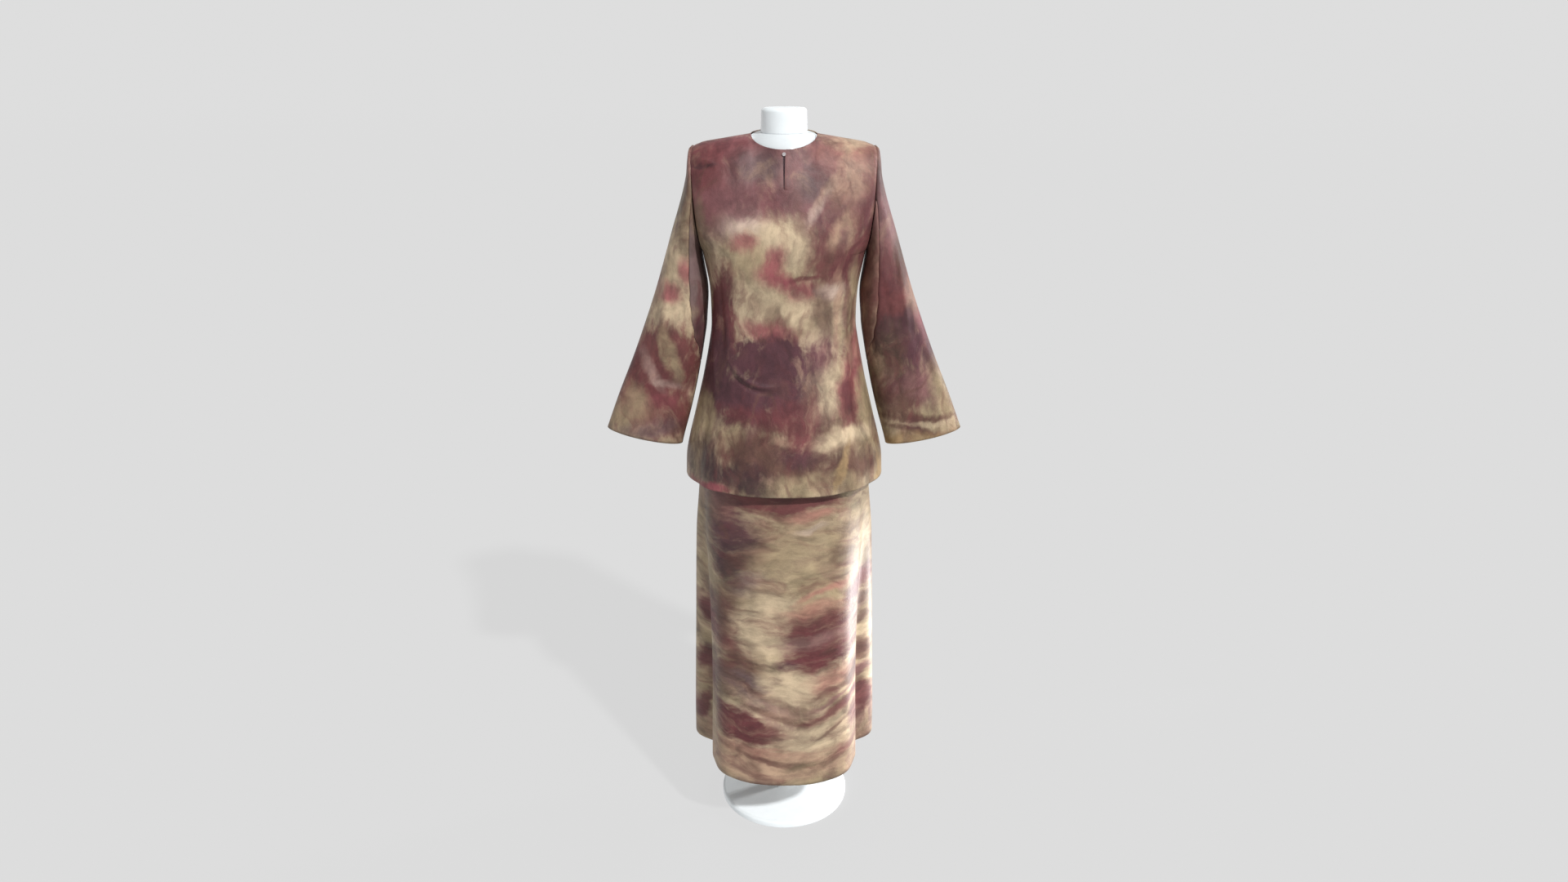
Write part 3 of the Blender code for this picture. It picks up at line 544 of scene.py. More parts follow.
SLEEVE_RIGHT_PATCHES = named_rows(
    Patch,
    (0.222, 1.300, 0.111, 0.232, 18, "brown", 0.92, 0.50),
    (0.192, 1.409, 0.027, 0.071, 0, "grey_mauve", 0.85, 0.60),
    (0.219, 1.366, 0.022, 0.049, 18, "mauve", 0.80, 0.70),
    (0.191, 1.300, 0.022, 0.055, 0, "mauve", 0.70, 0.80),
    (0.232, 1.312, 0.010, 0.033, 18, "dark_olive", 0.60, 0.90),
    (0.202, 1.211, 0.062, 0.073, 0, "maroon", 0.85, 0.60),
    (0.258, 1.217, 0.011, 0.034, 18, "peach", 0.45, 0.90),
    (0.256, 1.124, 0.074, 0.040, -10, "plum", 1.00, 0.50),
    (0.281, 1.153, 0.008, 0.030, 20, "rose", 0.45, 0.90),
    (0.196, 1.060, 0.034, 0.075, -8, "dark_olive", 0.75, 0.60),
    (0.283, 1.030, 0.063, 0.040, 0, "mauve", 0.85, 0.60),
    (0.238, 0.987, 0.041, 0.029, 0, "brown", 0.80, 0.70),
    (0.329, 1.030, 0.015, 0.040, 22, "khaki", 0.90, 0.70),
    (0.286, 0.960, 0.070, 0.008, -3, "brown", 0.90, 0.80),
    (0.287, 0.946, 0.064, 0.005, 4, "cream", 0.80, 0.80),
    (0.287, 0.933, 0.064, 0.007, -6, "brown", 0.90, 0.80),
    (0.259, 0.906, 0.088, 0.015, 8, "gold", 0.75, 0.70),
)
# The gussets' darker patches are dye and also painted shade for the sleeves' undersides.
GUSSET_PATCHES = named_rows(
    Patch,
    (-0.170, 1.390, 0.040, 0.034, 0, "olive", 0.85, 0.70),
    (-0.165, 1.260, 0.060, 0.080, 0, "grey_mauve", 0.90, 0.60),
    (-0.165, 1.120, 0.060, 0.040, 0, "plum", 0.85, 0.60),
    (0.170, 1.390, 0.040, 0.050, 0, "mauve", 0.85, 0.70),
    (0.165, 1.250, 0.060, 0.080, 0, "maroon", 0.80, 0.60),
    (0.165, 1.120, 0.060, 0.050, 0, "brown", 0.85, 0.60),
)

# How far a crease runs on past its ends, and over how much of its length it fades there
CREASE_PAST = 0.2
CREASE_FADE = 0.5

# A crease: a ridge, or a trough where its height is negative, from one end to the other
Crease = namedtuple("Crease", "x0 z0 x1 z1 sag wide high")
TUNIC_FRONT_CREASES = named_rows(
    Crease,
    (-0.178, 1.484, -0.134, 1.482, 0.004, 0.0045, 0.0034),
    (-0.176, 1.474, -0.138, 1.472, 0.003, 0.0045, -0.0030),
    (-0.106, 1.094, -0.020, 1.055, -0.014, 0.0048, 0.0046),
    (-0.110, 1.084, -0.018, 1.045, -0.014, 0.0060, -0.0030),
    (0.112, 1.290, 0.110, 1.080, 0.003, 0.0050, -0.0020),
    (0.124, 1.270, 0.127, 1.040, -0.003, 0.0055, 0.0022),
    (0.138, 1.250, 0.142, 0.990, 0.002, 0.0050, -0.0024),
    (-0.130, 1.285, -0.124, 1.090, 0.003, 0.0055, -0.0022),
    (-0.142, 1.270, -0.138, 1.010, -0.002, 0.0055, 0.0022),
    (-0.112, 1.210, -0.108, 1.000, 0.002, 0.0070, 0.0014),
    (0.100, 1.060, 0.118, 0.850, 0.004, 0.0080, 0.0026),
    (0.140, 1.020, 0.160, 0.842, 0.003, 0.0070, -0.0026),
    (0.164, 1.000, 0.186, 0.845, 0.002, 0.0070, 0.0020),
    (-0.120, 1.020, -0.142, 0.842, -0.003, 0.0080, 0.0024),
    (-0.156, 1.000, -0.176, 0.846, -0.002, 0.0070, -0.0022),
    (-0.050, 0.960, -0.058, 0.842, 0.002, 0.0110, -0.0018),
    (0.030, 0.950, 0.036, 0.842, -0.002, 0.0120, 0.0016),
    (0.150, 1.360, 0.070, 1.300, -0.008, 0.0060, 0.0016),
    (0.160, 1.340, 0.090, 1.270, -0.006, 0.0060, -0.0014),
    (-0.158, 1.350, -0.090, 1.300, 0.006, 0.0060, 0.0013),
    (0.120, 1.480, 0.070, 1.400, 0.004, 0.0060, 0.0010),
    (0.140, 1.470, 0.100, 1.390, 0.004, 0.0050, -0.0010),
    (-0.090, 1.490, -0.060, 1.420, -0.004, 0.0070, 0.0008),
    (0.000, 1.254, 0.110, 1.286, 0.004, 0.0030, -0.0008),
)
TUNIC_BACK_CREASES = named_rows(
    Crease,
    (-0.140, 1.400, -0.060, 1.340, 0.008, 0.0070, 0.0018),
    (0.140, 1.390, 0.070, 1.330, -0.008, 0.0070, 0.0016),
    (-0.060, 1.330, 0.060, 1.326, -0.010, 0.0060, -0.0012),
    (-0.080, 1.180, 0.050, 1.170, -0.012, 0.0060, 0.0020),
    (-0.050, 1.155, 0.080, 1.150, -0.010, 0.0070, -0.0018),
    (-0.110, 1.230, -0.112, 1.020, 0.003, 0.0060, 0.0022),
    (0.112, 1.240, 0.116, 1.010, -0.003, 0.0060, -0.0022),
    (0.132, 1.200, 0.140, 0.960, 0.002, 0.0060, 0.0020),
    (-0.020, 1.060, -0.026, 0.842, 0.003, 0.0100, 0.0028),
    (0.050, 1.020, 0.062, 0.842, -0.003, 0.0090, -0.0026),
    (0.110, 1.000, 0.130, 0.842, 0.003, 0.0080, 0.0024),
    (-0.090, 1.040, -0.110, 0.842, -0.003, 0.0090, -0.0024),
    (-0.150, 1.000, -0.170, 0.846, 0.002, 0.0080, 0.0020),
)
SKIRT_FRONT_CREASES = named_rows(
    Crease,
    (-0.060, 0.780, -0.070, 0.190, 0.004, 0.0120, 0.0022),
    (-0.020, 0.640, -0.016, 0.186, -0.003, 0.0140, -0.0020),
    (0.046, 0.700, 0.054, 0.186, 0.003, 0.0130, 0.0022),
    (0.092, 0.620, 0.100, 0.190, -0.003, 0.0110, -0.0018),
    (-0.104, 0.560, -0.112, 0.190, 0.002, 0.0100, -0.0016),
    (0.040, 0.600, 0.140, 0.645, 0.004, 0.0040, -0.0010),
    (-0.140, 0.455, -0.010, 0.360, 0.010, 0.0045, 0.0009),
    (0.150, 0.430, 0.014, 0.360, -0.010, 0.0045, 0.0009),
)
SKIRT_BACK_CREASES = named_rows(
    Crease,
    (-0.040, 0.760, -0.048, 0.186, 0.004, 0.0120, 0.0024),
    (0.010, 0.680, 0.016, 0.186, -0.003, 0.0130, -0.0022),
    (0.070, 0.640, 0.078, 0.190, 0.003, 0.0110, 0.0020),
    (-0.090, 0.600, -0.098, 0.190, -0.003, 0.0110, -0.0020),
    (0.120, 0.560, 0.128, 0.190, 0.002, 0.0100, 0.0018),
)
SLEEVE_CREASES = named_rows(
    Crease,
    (0.186, 1.470, 0.230, 1.180, 0.010, 0.0060, -0.0018),
    (0.200, 1.400, 0.250, 1.120, 0.008, 0.0070, 0.0020),
    (0.178, 1.300, 0.240, 0.980, 0.012, 0.0080, -0.0024),
    (0.230, 1.240, 0.310, 0.950, -0.006, 0.0090, 0.0024),
    (0.270, 1.130, 0.345, 0.945, 0.004, 0.0080, -0.0020),
    (0.196, 1.210, 0.236, 1.190, 0.005, 0.0050, 0.0012),
    (0.204, 1.170, 0.262, 1.150, 0.006, 0.0060, -0.0012),
)

# Hem stitches, and how far above its edge each hem is sewn
STITCH_LONG = 0.0016
STITCH_WIDE = 0.0009
TUNIC_HEM = TUNIC_SECTIONS[0].height + 0.0180
SKIRT_HEM = SKIRT_SECTIONS[0].height + 0.0220

# Camera, floor and light
CAMERA_BACK = 2.148
CAMERA_HEIGHT = 1.677
CAMERA_TILT = radians(70)
CAMERA_LENS = 24.44
CAMERA_SENSOR = 36.0
FLOOR_HALF = 40.0
FLOOR_GREY = 0.06
FLOOR_GLOW_NEAR = 0.640
FLOOR_GLOW_FAR = 0.650
FLOOR_GLOW_FROM = 6.0
FLOOR_GLOW_TO = 36.0
STUDIO_LIGHT = 0.50
Sun = namedtuple("Sun", "name towards strength angle")
SUNS = named_rows(
    Sun,
    ("key", (-0.50, 0.66, -0.80), 3.0, radians(3)),
    ("rim", (-0.86, -0.40, -0.30), 2.2, radians(8)),
)
LAMP_PLACE = Vector((1.35, 0.46, 0.08))
LAMP_AIM = Vector((0.16, -0.12, 0.26))
LAMP_POWER = 130.0
LAMP_CONE = radians(46)
LAMP_BLEND = 0.8
LAMP_SIZE = 0.06


def smooth_step(value):
    value = min(max(value, 0.0), 1.0)
    return value * value * (3.0 - 2.0 * value)


def along(rows, column, place):
    """Reads a column of a table, on a smooth curve through its rows, ordered by the first one."""
    last = len(rows) - 1
    place = min(max(place, rows[0][0]), rows[last][0])
    low = 0
    while low < last - 1 and rows[low + 1][0] <= place:
        low += 1

    def slope(i):
        before, after = rows[max(i - 1, 0)], rows[min(i + 1, last)]
        return (getattr(after, column) - getattr(before, column)) / (after[0] - before[0])

    span = rows[low + 1][0] - rows[low][0]
    t = (place - rows[low][0]) / span
    start = getattr(rows[low], column)
    end = getattr(rows[low + 1], column)
    return (
        start * (2 * t**3 - 3 * t**2 + 1)
        + span * slope(low) * (t**3 - 2 * t**2 + t)
        + end * (3 * t**2 - 2 * t**3)
        + span * slope(low + 1) * (t**3 - t**2)
    )


def bow(share, middle=BOW_MIDDLE):
    """A section's rounding, 1 in its middle and 0 at its sides."""
    return max(1.0 - abs(share) ** BOW_SIDE, 0.0) ** (1.0 / middle)


def side_depth(side):
    return "front" if side == FRONT else "back"


def share_at(column):
    """The share of the half width at a column, counted from the middle."""
    neck = NECK_X / SHOULDER_X
    count = abs(column)
    if count <= NECK_STEPS:
        share = neck * sin(pi / 2 * count / NECK_STEPS)
    else:
        turn = (count - NECK_STEPS) / SIDE_STEPS
        share = sin(asin(neck) + (pi / 2 - asin(neck)) * turn)
    return share if column >= 0 else -share


def body_row(shape, side, share, height, edge):
    """A point of a section. edge grows from 0 at the underarm to 1 at the chest, as it parts."""
    half_width = along(shape.sections, "half_width", height)
    depth = along(shape.sections, side_depth(side), height)
    near_edge = abs(share) ** EDGE_POWER
    parting = edge * near_edge + edge * edge * (1.0 - near_edge)
    parted = shape.armhole_depth * parting
    x = half_width * share
    y = parted + (depth - parted) * bow(share, BOW_MIDDLE + (BOW_CHEST - BOW_MIDDLE) * parting)
    sink = 0.0
    for fold in shape.folds:
        if fold.side == side:
            fade = smooth_step((fold.top - height) / (fold.top - shape.low))
            sink += fold.depth * fade * exp(-(((share - fold.place) / fold.spread) ** 2))
    keep = 1.0 - sink / hypot(x, y)
    return Vector((x * keep, side * y * keep, height))


def top_point(shape, side, share):
    """A point on the shoulder seam or the neck's edge, and how steeply the cloth rises to it."""
    neck = NECK_X / SHOULDER_X
    x = shape.shoulder_x * share
    if abs(share) >= neck - TINY:
        fall = (abs(x) - NECK_X) / (SHOULDER_X - NECK_X)
        return Vector((x, 0.0, NECK_Z + (SHOULDER_Z - NECK_Z) * fall - shape.drop)), 0.0
    inward = sqrt(1.0 - (share / neck) ** 2)
    depth, middle_z = (NECK_FRONT, NECK_FRONT_Z) if side == FRONT else (NECK_BACK, NECK_BACK_Z)
    rise = NECK_RISE * inward
    y = depth * inward * shape.shoulder_x / SHOULDER_X - shape.drop * sin(rise)
    z = NECK_Z + (middle_z - NECK_Z) * inward - shape.drop * cos(rise)
    return Vector((x, side * y, z)), rise


def body_point(shape, side, share, row):
    """A point on a body. Rows count up through the sections, the armhole and the yoke."""
    if row <= BODY_STEPS:
        height = shape.low + (UNDERARM_Z - shape.low) * row / BODY_STEPS
        return body_row(shape, side, share, height, 0.0)
    if row <= BODY_STEPS + ARMHOLE_STEPS:
        turn = pi / 2 * (row - BODY_STEPS) / ARMHOLE_STEPS
        height = CHEST_Z - (CHEST_Z - UNDERARM_Z) * cos(turn)
        return body_row(shape, side, share, height, sin(turn))
    return rounded_shoulder(yoke_point(shape, side, share, row - BODY_STEPS - ARMHOLE_STEPS))


def rounded_shoulder(point):
    """Draws a point in where it lies close to the shoulder's corner."""
    hand = 1.0 if point.x > 0.0 else -1.0
    corner = Vector((SHOULDER_X * hand, 0.0, SHOULDER_Z))
    near = exp(-(((point - corner).length / SHOULDER_SPREAD) ** 2))
    return point - Vector((SHOULDER_IN * hand, 0.0, SHOULDER_DOWN)) * SHOULDER_ROUND * near


def yoke_point(shape, side, share, row):
    """A point on a yoke, from the top of the armhole rows to the neck or the shoulder."""
    v = row / YOKE_STEPS
    start = body_row(shape, side, share, CHEST_Z, 1.0)
    below = body_row(shape, side, share, CHEST_Z - CHEST_STEP, 1.0)
    end, rise = top_point(shape, side, share)
    rise += shape.crest
    reach = YOKE_REACH * (end - start).length
    first = start + (start - below).normalized() * reach
    second = end - Vector((0.0, -side * cos(rise), sin(rise))) * reach
    return (
        start * (1 - v) ** 3
        + first * 3 * v * (1 - v) ** 2
        + second * 3 * v * v * (1 - v)
        + end * v**3
    )


TOP_ROW = BODY_STEPS + ARMHOLE_STEPS + YOKE_STEPS
ARMHOLE_EDGES = {
    side: [body_point(TUNIC, side, 1.0, row) for row in range(BODY_STEPS, TOP_ROW + 1)]
    for side in (FRONT, BACK)
}


def armhole_point(angle):
    """A point on the armhole's edge on +X, at an angle from its top, 0, through the front."""
    angle = (angle + pi) % (2 * pi) - pi
    edge = ARMHOLE_EDGES[FRONT if angle >= 0.0 else BACK]
    turns = abs(angle) / (pi / 2)
    if turns <= 1.0:
        place = ARMHOLE_STEPS + YOKE_STEPS * (1.0 - turns)
    else:
        place = ARMHOLE_STEPS * (2.0 - turns)
    low = min(int(place), len(edge) - 2)
    return edge[low].lerp(edge[low + 1], place - low)


def sleeve_ring_point(down, angle):
    """A point of a sleeve's ring on +X, at an angle from its outer end, 0, through the front."""
    outer_x = along(SLEEVE_RINGS, "outer_x", down)
    outer = Vector((outer_x, 0.0, along(SLEEVE_RINGS, "outer_z", down)))
    inner_z = along(SLEEVE_RINGS, "inner_z", down)
    inner_x = along(TUNIC_SECTIONS, "half_width", inner_z) + along(SLEEVE_RINGS, "clear", down)
    inner = Vector((inner_x, 0.0, inner_z))
    point = (outer + inner) / 2 + (outer - inner) / 2 * cos(angle)
    point.x += along(SLEEVE_RINGS, "swell", down) * sin(angle) ** 2
    point.y = -along(SLEEVE_RINGS, "half_depth", down) * sin(angle)
    return point


def sleeve_point(hand, down, angle):
    point = sleeve_ring_point(down, angle)
    fade = exp(-down / ARMHOLE_BLEND)
    point += (armhole_point(angle) - sleeve_ring_point(0.0, angle)) * fade
    point.x *= hand
    return point


def gusset_half_angle(down):
    for before, after in zip(GUSSET_ROWS, GUSSET_ROWS[1:]):
        if before.down <= down <= after.down:
            share = (down - before.down) / (after.down - before.down)
            return before.half_angle + (after.half_angle - before.half_angle) * smooth_step(share)
    return 0.0


def skirt_sink(angle, height):
    """How far the skirt's hanging folds draw it in."""
    fade = smooth_step((FOLD_TOP - height) / (FOLD_TOP - FOLD_FULL))
    sink = 0.0
    for fold in SKIRT_FOLDS:
        apart = (angle - fold.angle + pi) % (2 * pi) - pi
        sink += fold.depth * fade * exp(-((apart / fold.spread) ** 2))
    return sink


def skirt_point(angle, height):
    side = FRONT if sin(angle) < 0.0 else BACK
    x = along(SKIRT_SECTIONS, "half_width", height) * cos(angle)
    y = side * along(SKIRT_SECTIONS, side_depth(side), height) * bow(cos(angle))
    keep = 1.0 - skirt_sink(angle, height) / hypot(x, y)
    return Vector((x * keep, y * keep, height))


def crease_height(creases, x, z):
    """How far the creases lift the cloth at a place, seen from the front."""
    lift = 0.0
    for crease in creases:
        run = Vector((crease.x1 - crease.x0, crease.z1 - crease.z0))
        gone = Vector((x - crease.x0, z - crease.z0))
        share = gone.dot(run) / run.length_squared
        if -CREASE_PAST < share < 1.0 + CREASE_PAST:
            off = (gone.y * run.x - gone.x * run.y) / run.length
            off -= crease.sag * 4.0 * share * (1.0 - share)
            ends = smooth_step((share + CREASE_PAST) / CREASE_FADE)
            ends *= smooth_step((1.0 + CREASE_PAST - share) / CREASE_FADE)
            lift += crease.high * ends * exp(-((off / crease.wide) ** 2))
    return lift


class Board:
    """A material's nodes, laid one after another."""

    def __init__(self, name):
        self.material = bpy.data.materials.new(name)
        self.material.use_nodes = True
        self.tree = self.material.node_tree
        self.shader = self.tree.nodes["Principled BSDF"]

    def add(self, kind, ins=(), **settings):
        made = self.tree.nodes.new(kind)
        for key, value in settings.items():
            setattr(made, key, value)
        for key, value in dict(ins).items():
            if isinstance(value, bpy.types.NodeSocket):
                self.tree.links.new(value, made.inputs[key])
            else:
                made.inputs[key].default_value = value
        return made

    def set(self, **values):
        for key, value in values.items():
            self.shader.inputs[key.replace("_", " ").title()].default_value = value

    def noise(self, place, scale, detail=3.0, roughness=0.5, distortion=0.0):
        ins = {
            "Vector": place,
            "Scale": scale,
            "Detail": detail,
            "Roughness": roughness,
            "Distortion": distortion,
        }
        return self.add("ShaderNodeTexNoise", ins)

    def stretch(self, place, scale):
        return self.add("ShaderNodeMapping", {"Vector": place, "Scale": scale}).outputs[0]

    def maths(self, operation, *values):
        return self.add("ShaderNodeMath", dict(enumerate(values)), operation=operation).outputs[0]

    def vectors(self, operation, *values):
        return self.add("ShaderNodeVectorMath", dict(enumerate(values)), operation=operation)

    def ramp(self, value, low, high, to_low=0.0, to_high=1.0):
        ins = {
            "Value": value,
            "From Min": low,
            "From Max": high,
            "To Min": to_low,
            "To Max": to_high,
        }
        return self.add("ShaderNodeMapRange", ins, interpolation_type="SMOOTHSTEP").outputs[0]

    def mix(self, factor, first, second, blend="MIX"):
        ins = {0: factor, 6: first, 7: second}
        return self.add("ShaderNodeMix", ins, data_type="RGBA", blend_type=blend).outputs[2]

    def link(self, socket, name):
        self.tree.links.new(socket, self.shader.inputs[name])


def dye(name):
    """A listed colour for a shader, from its value out of 255; most are dyes, a few serve painted
    shade and light.
    """
    linear = [((part / 255.0 + 0.055) / 1.055) ** 2.4 for part in DYE_AND_PAINTED_LIGHT_COLOURS[name]]
    return (*linear, 1.0)


def wandering(board, place, wander):
    """Noise that moves a place about, to feather the edge of a patch of dye."""
    noise = board.noise(place, wander.scale, wander.detail, wander.roughness).outputs["Color"]
    centred = board.vectors("SUBTRACT", noise, (0.5, 0.5, 0.5)).outputs[0]
    return board.vectors("MULTIPLY", centred, (wander.size, wander.size, wander.size)).outputs[0]


def clouded(board, colour, noise, clouds):
    """Lays clouds of dye on a colour, one for each part of a noise's colour."""
    parts = board.add("ShaderNodeSeparateColor", {0: noise}).outputs
    for part, cloud in zip(parts, clouds):
        share = board.ramp(part, cloud.low, cloud.high, 0.0, cloud.strength)
        colour = board.mix(share, colour, dye(cloud.dye))
    return colour


def frayed(board, swept, swirled, grain):
    """How far the noises push a patch's edge in or out."""
    comb = [part if part < 0.8 else part * FRINGE_STRETCH for part in grain]
    ragged = board.noise(swept, *RAGGED).outputs["Fac"]
    fringe = board.noise(board.stretch(swirled, comb), *FRINGE).outputs["Fac"]
    ragged = board.maths("MULTIPLY", board.maths("SUBTRACT", ragged, 0.5), RAGGED_SIZE)
    fringe = board.maths("MULTIPLY", board.maths("SUBTRACT", fringe, 0.5), FRINGE_SIZE)
    return board.maths("ADD", ragged, fringe)


def patched(board, colour, patches, place, fray):
    """Lays each patch on a colour, the first one undermost; most are dye, a few are painted shade
    or light.
    """
    for patch in patches:
        ins = {
            "Vector": place,
            "Location": (patch.x, 0.0, patch.z),
            "Rotation": (0.0, -radians(patch.turn), 0.0),
            "Scale": (patch.wide, 1000.0, patch.tall),
        }
        local = board.add("ShaderNodeMapping", ins, vector_type="TEXTURE").outputs[0]
        far = board.maths("ADD", board.vectors("LENGTH", local).outputs[1], fray)
        wet = board.ramp(far, SOAK + patch.soft, SOAK - patch.soft, 0.0, patch.strength)
        colour = board.mix(wet, colour, dye(patch.dye))
    return colour


def wisped(board, colour, swept, own):
    """Draws thin dark wisps along the middle of a noise, here and there."""
    wisp = board.noise(swept, *WISP).outputs["Fac"]
    off = board.maths("ABSOLUTE", board.maths("SUBTRACT", wisp, 0.5))
    gate = board.ramp(board.noise(own, *GATE).outputs["Fac"], 0.44, 0.62, 0.0, 0.65)
    dark_wisp = board.maths("MULTIPLY", board.ramp(off, 0.0, 0.055, 0.8, 0.0), gate)
    return board.mix(dark_wisp, colour, dye("brown"))


def mottled(board, colour, swept):
    """Makes a colour lighter and darker in fine streaks."""
    mottle = board.noise(swept, *MOTTLE).outputs["Fac"]
    shade = board.ramp(mottle, 0.28, 0.72, 0.66, 1.30)
    grey = board.add("ShaderNodeCombineColor", {0: shade, 1: shade, 2: shade}).outputs[0]
    return board.mix(1.0, colour, grey, "MULTIPLY")


def hem_stitches(board, place, height):
    """A row of hem stitches at a height, 1 where a thread draws the cloth in."""
    axes = board.add("ShaderNodeSeparateXYZ", {0: place}).outputs
    off = board.maths("ABSOLUTE", board.maths("SUBTRACT", axes["Z"], height))
    beat = board.maths("PINGPONG", axes["X"], STITCH_LONG)
    drawn = board.ramp(beat, STITCH_LONG * 0.2, STITCH_LONG * 0.6)
    return board.maths("MULTIPLY", board.ramp(off, 0.0, STITCH_WIDE, 1.0, 0.0), drawn)


def dyed_satin(name, patches, grain, shift, hem=None):
    """Satin dyed in soft patches, a few of them painted shade or light. Its streaks run the way in
    which grain, the crush, is small.
    """
    board = Board(name)
    place = board.add("ShaderNodeTexCoord").outputs["Object"]
    own = board.vectors("ADD", place, shift).outputs[0]
    crushed = board.stretch(own, grain)
    broad = wandering(board, own, BROAD)
    curl = wandering(board, own, CURL)
    feather = wandering(board, crushed, FEATHER)
    moved = board.vectors("ADD", board.vectors("ADD", place, broad).outputs[0], curl).outputs[0]
    moved = board.vectors("ADD", moved, feather).outputs[0]
    swirled = board.vectors("ADD", board.vectors("ADD", own, broad).outputs[0], curl).outputs[0]
    swept = board.stretch(swirled, grain)

    tone = board.noise(swept, *TONE).outputs["Fac"]
    colour = board.mix(board.ramp(tone, 0.38, 0.60), dye("khaki"), dye("cream"))
    cloud = board.noise(swirled, *CLOUD).outputs["Color"]
    colour = clouded(board, colour, cloud, GROUND_CLOUDS)
    colour = patched(board, colour, patches, moved, frayed(board, swept, swirled, grain))
    colour = clouded(board, colour, board.noise(swept, *HUE).outputs["Color"], HUE_CLOUDS)
    colour = mottled(board, wisped(board, colour, swept, own), swept)
    board.link(colour, "Base Color")

    wave = {"Vector": own, "Scale": WEAVE_SCALE}
    across = board.add("ShaderNodeTexWave", wave, bands_direction="X")
    up = board.add("ShaderNodeTexWave", wave, bands_direction="Z")
    weave = board.maths("MULTIPLY", across.outputs["Fac"], up.outputs["Fac"])
    crepe = board.noise(own, *CREPE).outputs["Fac"]
    ruck = board.noise(crushed, *RUCK).outputs["Fac"]
    height = board.maths("ADD", board.maths("MULTIPLY", weave, 0.3), crepe)
    height = board.maths("ADD", height, board.maths("MULTIPLY", ruck, 1.2))
    if hem is not None:
        thread = hem_stitches(board, place, hem)
        height = board.maths("SUBTRACT", height, board.maths("MULTIPLY", thread, 1.5))
    bump = board.add("ShaderNodeBump", {"Strength": 0.5, "Distance": 0.0008, "Height": height})
    board.link(bump.outputs[0], "Normal")
    board.link(board.ramp(crepe, 0.2, 0.8, 0.40, 0.54), "Roughness")
    board.shader.inputs["Specular IOR Level"].default_value = 0.30
    return board.material


# Painted shade: dark plum for the slit's turned-in edges, so that the slit reads dark.
def painted_slit_shade():
    board = Board("satin_painted_slit_shade")
    place = board.add("ShaderNodeTexCoord").outputs["Object"]
    tone = board.noise(place, 90.0, 3.0).outputs["Fac"]
    board.link(board.mix(tone, dye("deep_plum"), dye("plum")), "Base Color")
    board.set(roughness=0.6)
    return board.material


# shade scales the white; the torso's darker copy of the form's white is painted shade.
def gloss_white(name, shade):
    board = Board(name)
    place = board.add("ShaderNodeTexCoord").outputs["Object"]
    dust = board.noise(place, 26.0, 4.0, 0.6).outputs["Fac"]
    clean = (*[part * shade for part in CLEAN_WHITE], 1.0)
    dusty = (*[part * shade for part in DUSTY_WHITE], 1.0)
    colour = board.mix(board.ramp(dust, 0.3, 0.8), clean, dusty)
    board.link(colour, "Base Color")
    board.link(board.ramp(dust, 0.2, 0.8, 0.14, 0.26), "Roughness")
    peel = board.noise(place, 160.0, 2.0).outputs["Fac"]
    bump = board.add("ShaderNodeBump", {"Strength": 0.06, "Distance": 0.0006, "Height": peel})
    board.link(bump.outputs[0], "Normal")
    return board.material


def pearl():
    board = Board("button_pearl")
    place = board.add("ShaderNodeTexCoord").outputs["Object"]
    swirl = board.noise(place, 320.0, 3.0, 0.5, 2.0).outputs["Fac"]
    colour = board.mix(board.ramp(swirl, 0.3, 0.7), PEARL_DARK, PEARL_LIGHT)
    board.link(colour, "Base Color")
    board.set(roughness=0.22)
    return board.material


def make_piece(name, bm, materials):
    mesh = bpy.data.meshes.new(name)
    bm.to_mesh(mesh)
    bm.free()
    mesh.shade_smooth()
    for material in materials:
        mesh.materials.append(material)
    item = bpy.data.objects.new(name, mesh)
    bpy.context.scene.collection.objects.link(item)
    return item


def face_out(bm, core):
    """Turns an open sheet's faces away from its core, a point for each height."""
    bm.normal_update()
    outward = sum(
        face.normal.dot(face.calc_center_median() - core(face.calc_center_median().z))
        for face in bm.faces
    )
    if outward < 0.0:
        bmesh.ops.reverse_faces(bm, faces=bm.faces)
    bm.normal_update()


def ease(bm, picked):
    """Eases the kinks out of the picked part of a sheet, and leaves its edges where they are."""
    chosen = [vert for vert in bm.verts if not vert.is_boundary and picked(vert.co)]
    for _ in range(EASED_TIMES):
        bmesh.ops.smooth_vert(
            bm, verts=chosen, factor=0.5, use_axis_x=True, use_axis_y=True, use_axis_z=True
        )


def lay_cloth(name, columns, rows, place, lift, core, material, joined=False, cut=None, eased=None):
    """Lays a grid on a surface, raises its creases and gives it the thickness of cloth."""
    bm = bmesh.new()
    bmesh.ops.create_grid(bm, x_segments=columns, y_segments=rows, size=1.0)
    raised = bm.verts.layers.float.new("raised")
    for vert in bm.verts:
        column = round((vert.co.x + 1.0) / 2.0 * columns)
        row = round((vert.co.y + 1.0) / 2.0 * rows)
        vert.co = place(column, row)
        vert[raised] = lift(column, row, vert.co)
    if eased is not None:
        ease(bm, eased)
    if cut is not None:
        gone = [face for face in bm.faces if cut(face.calc_center_median())]
        bmesh.ops.delete(bm, geom=gone, context="FACES")
    if joined:
        bmesh.ops.remove_doubles(bm, verts=bm.verts, dist=TINY)
    face_out(bm, core)
    moves = [vert.normal * vert[raised] for vert in bm.verts]
    for vert, move in zip(bm.verts, moves):
        vert.co += move
    item = make_piece(name, bm, [material])
    wall = item.modifiers.new("cloth", "SOLIDIFY")
    wall.thickness = CLOTH
    wall.offset = -1.0
    return item


def dip(distance):
    """How far a seam draws the cloth in at a distance from it."""
    return -SEAM_DIP * exp(-((distance / SEAM_SPREAD) ** 2))


def middle_axis(height):
    return Vector((0.0, 0.0, height))


def slit_share(z):
    return (z - SLIT_LOW) / (SLIT_TOP - SLIT_LOW)


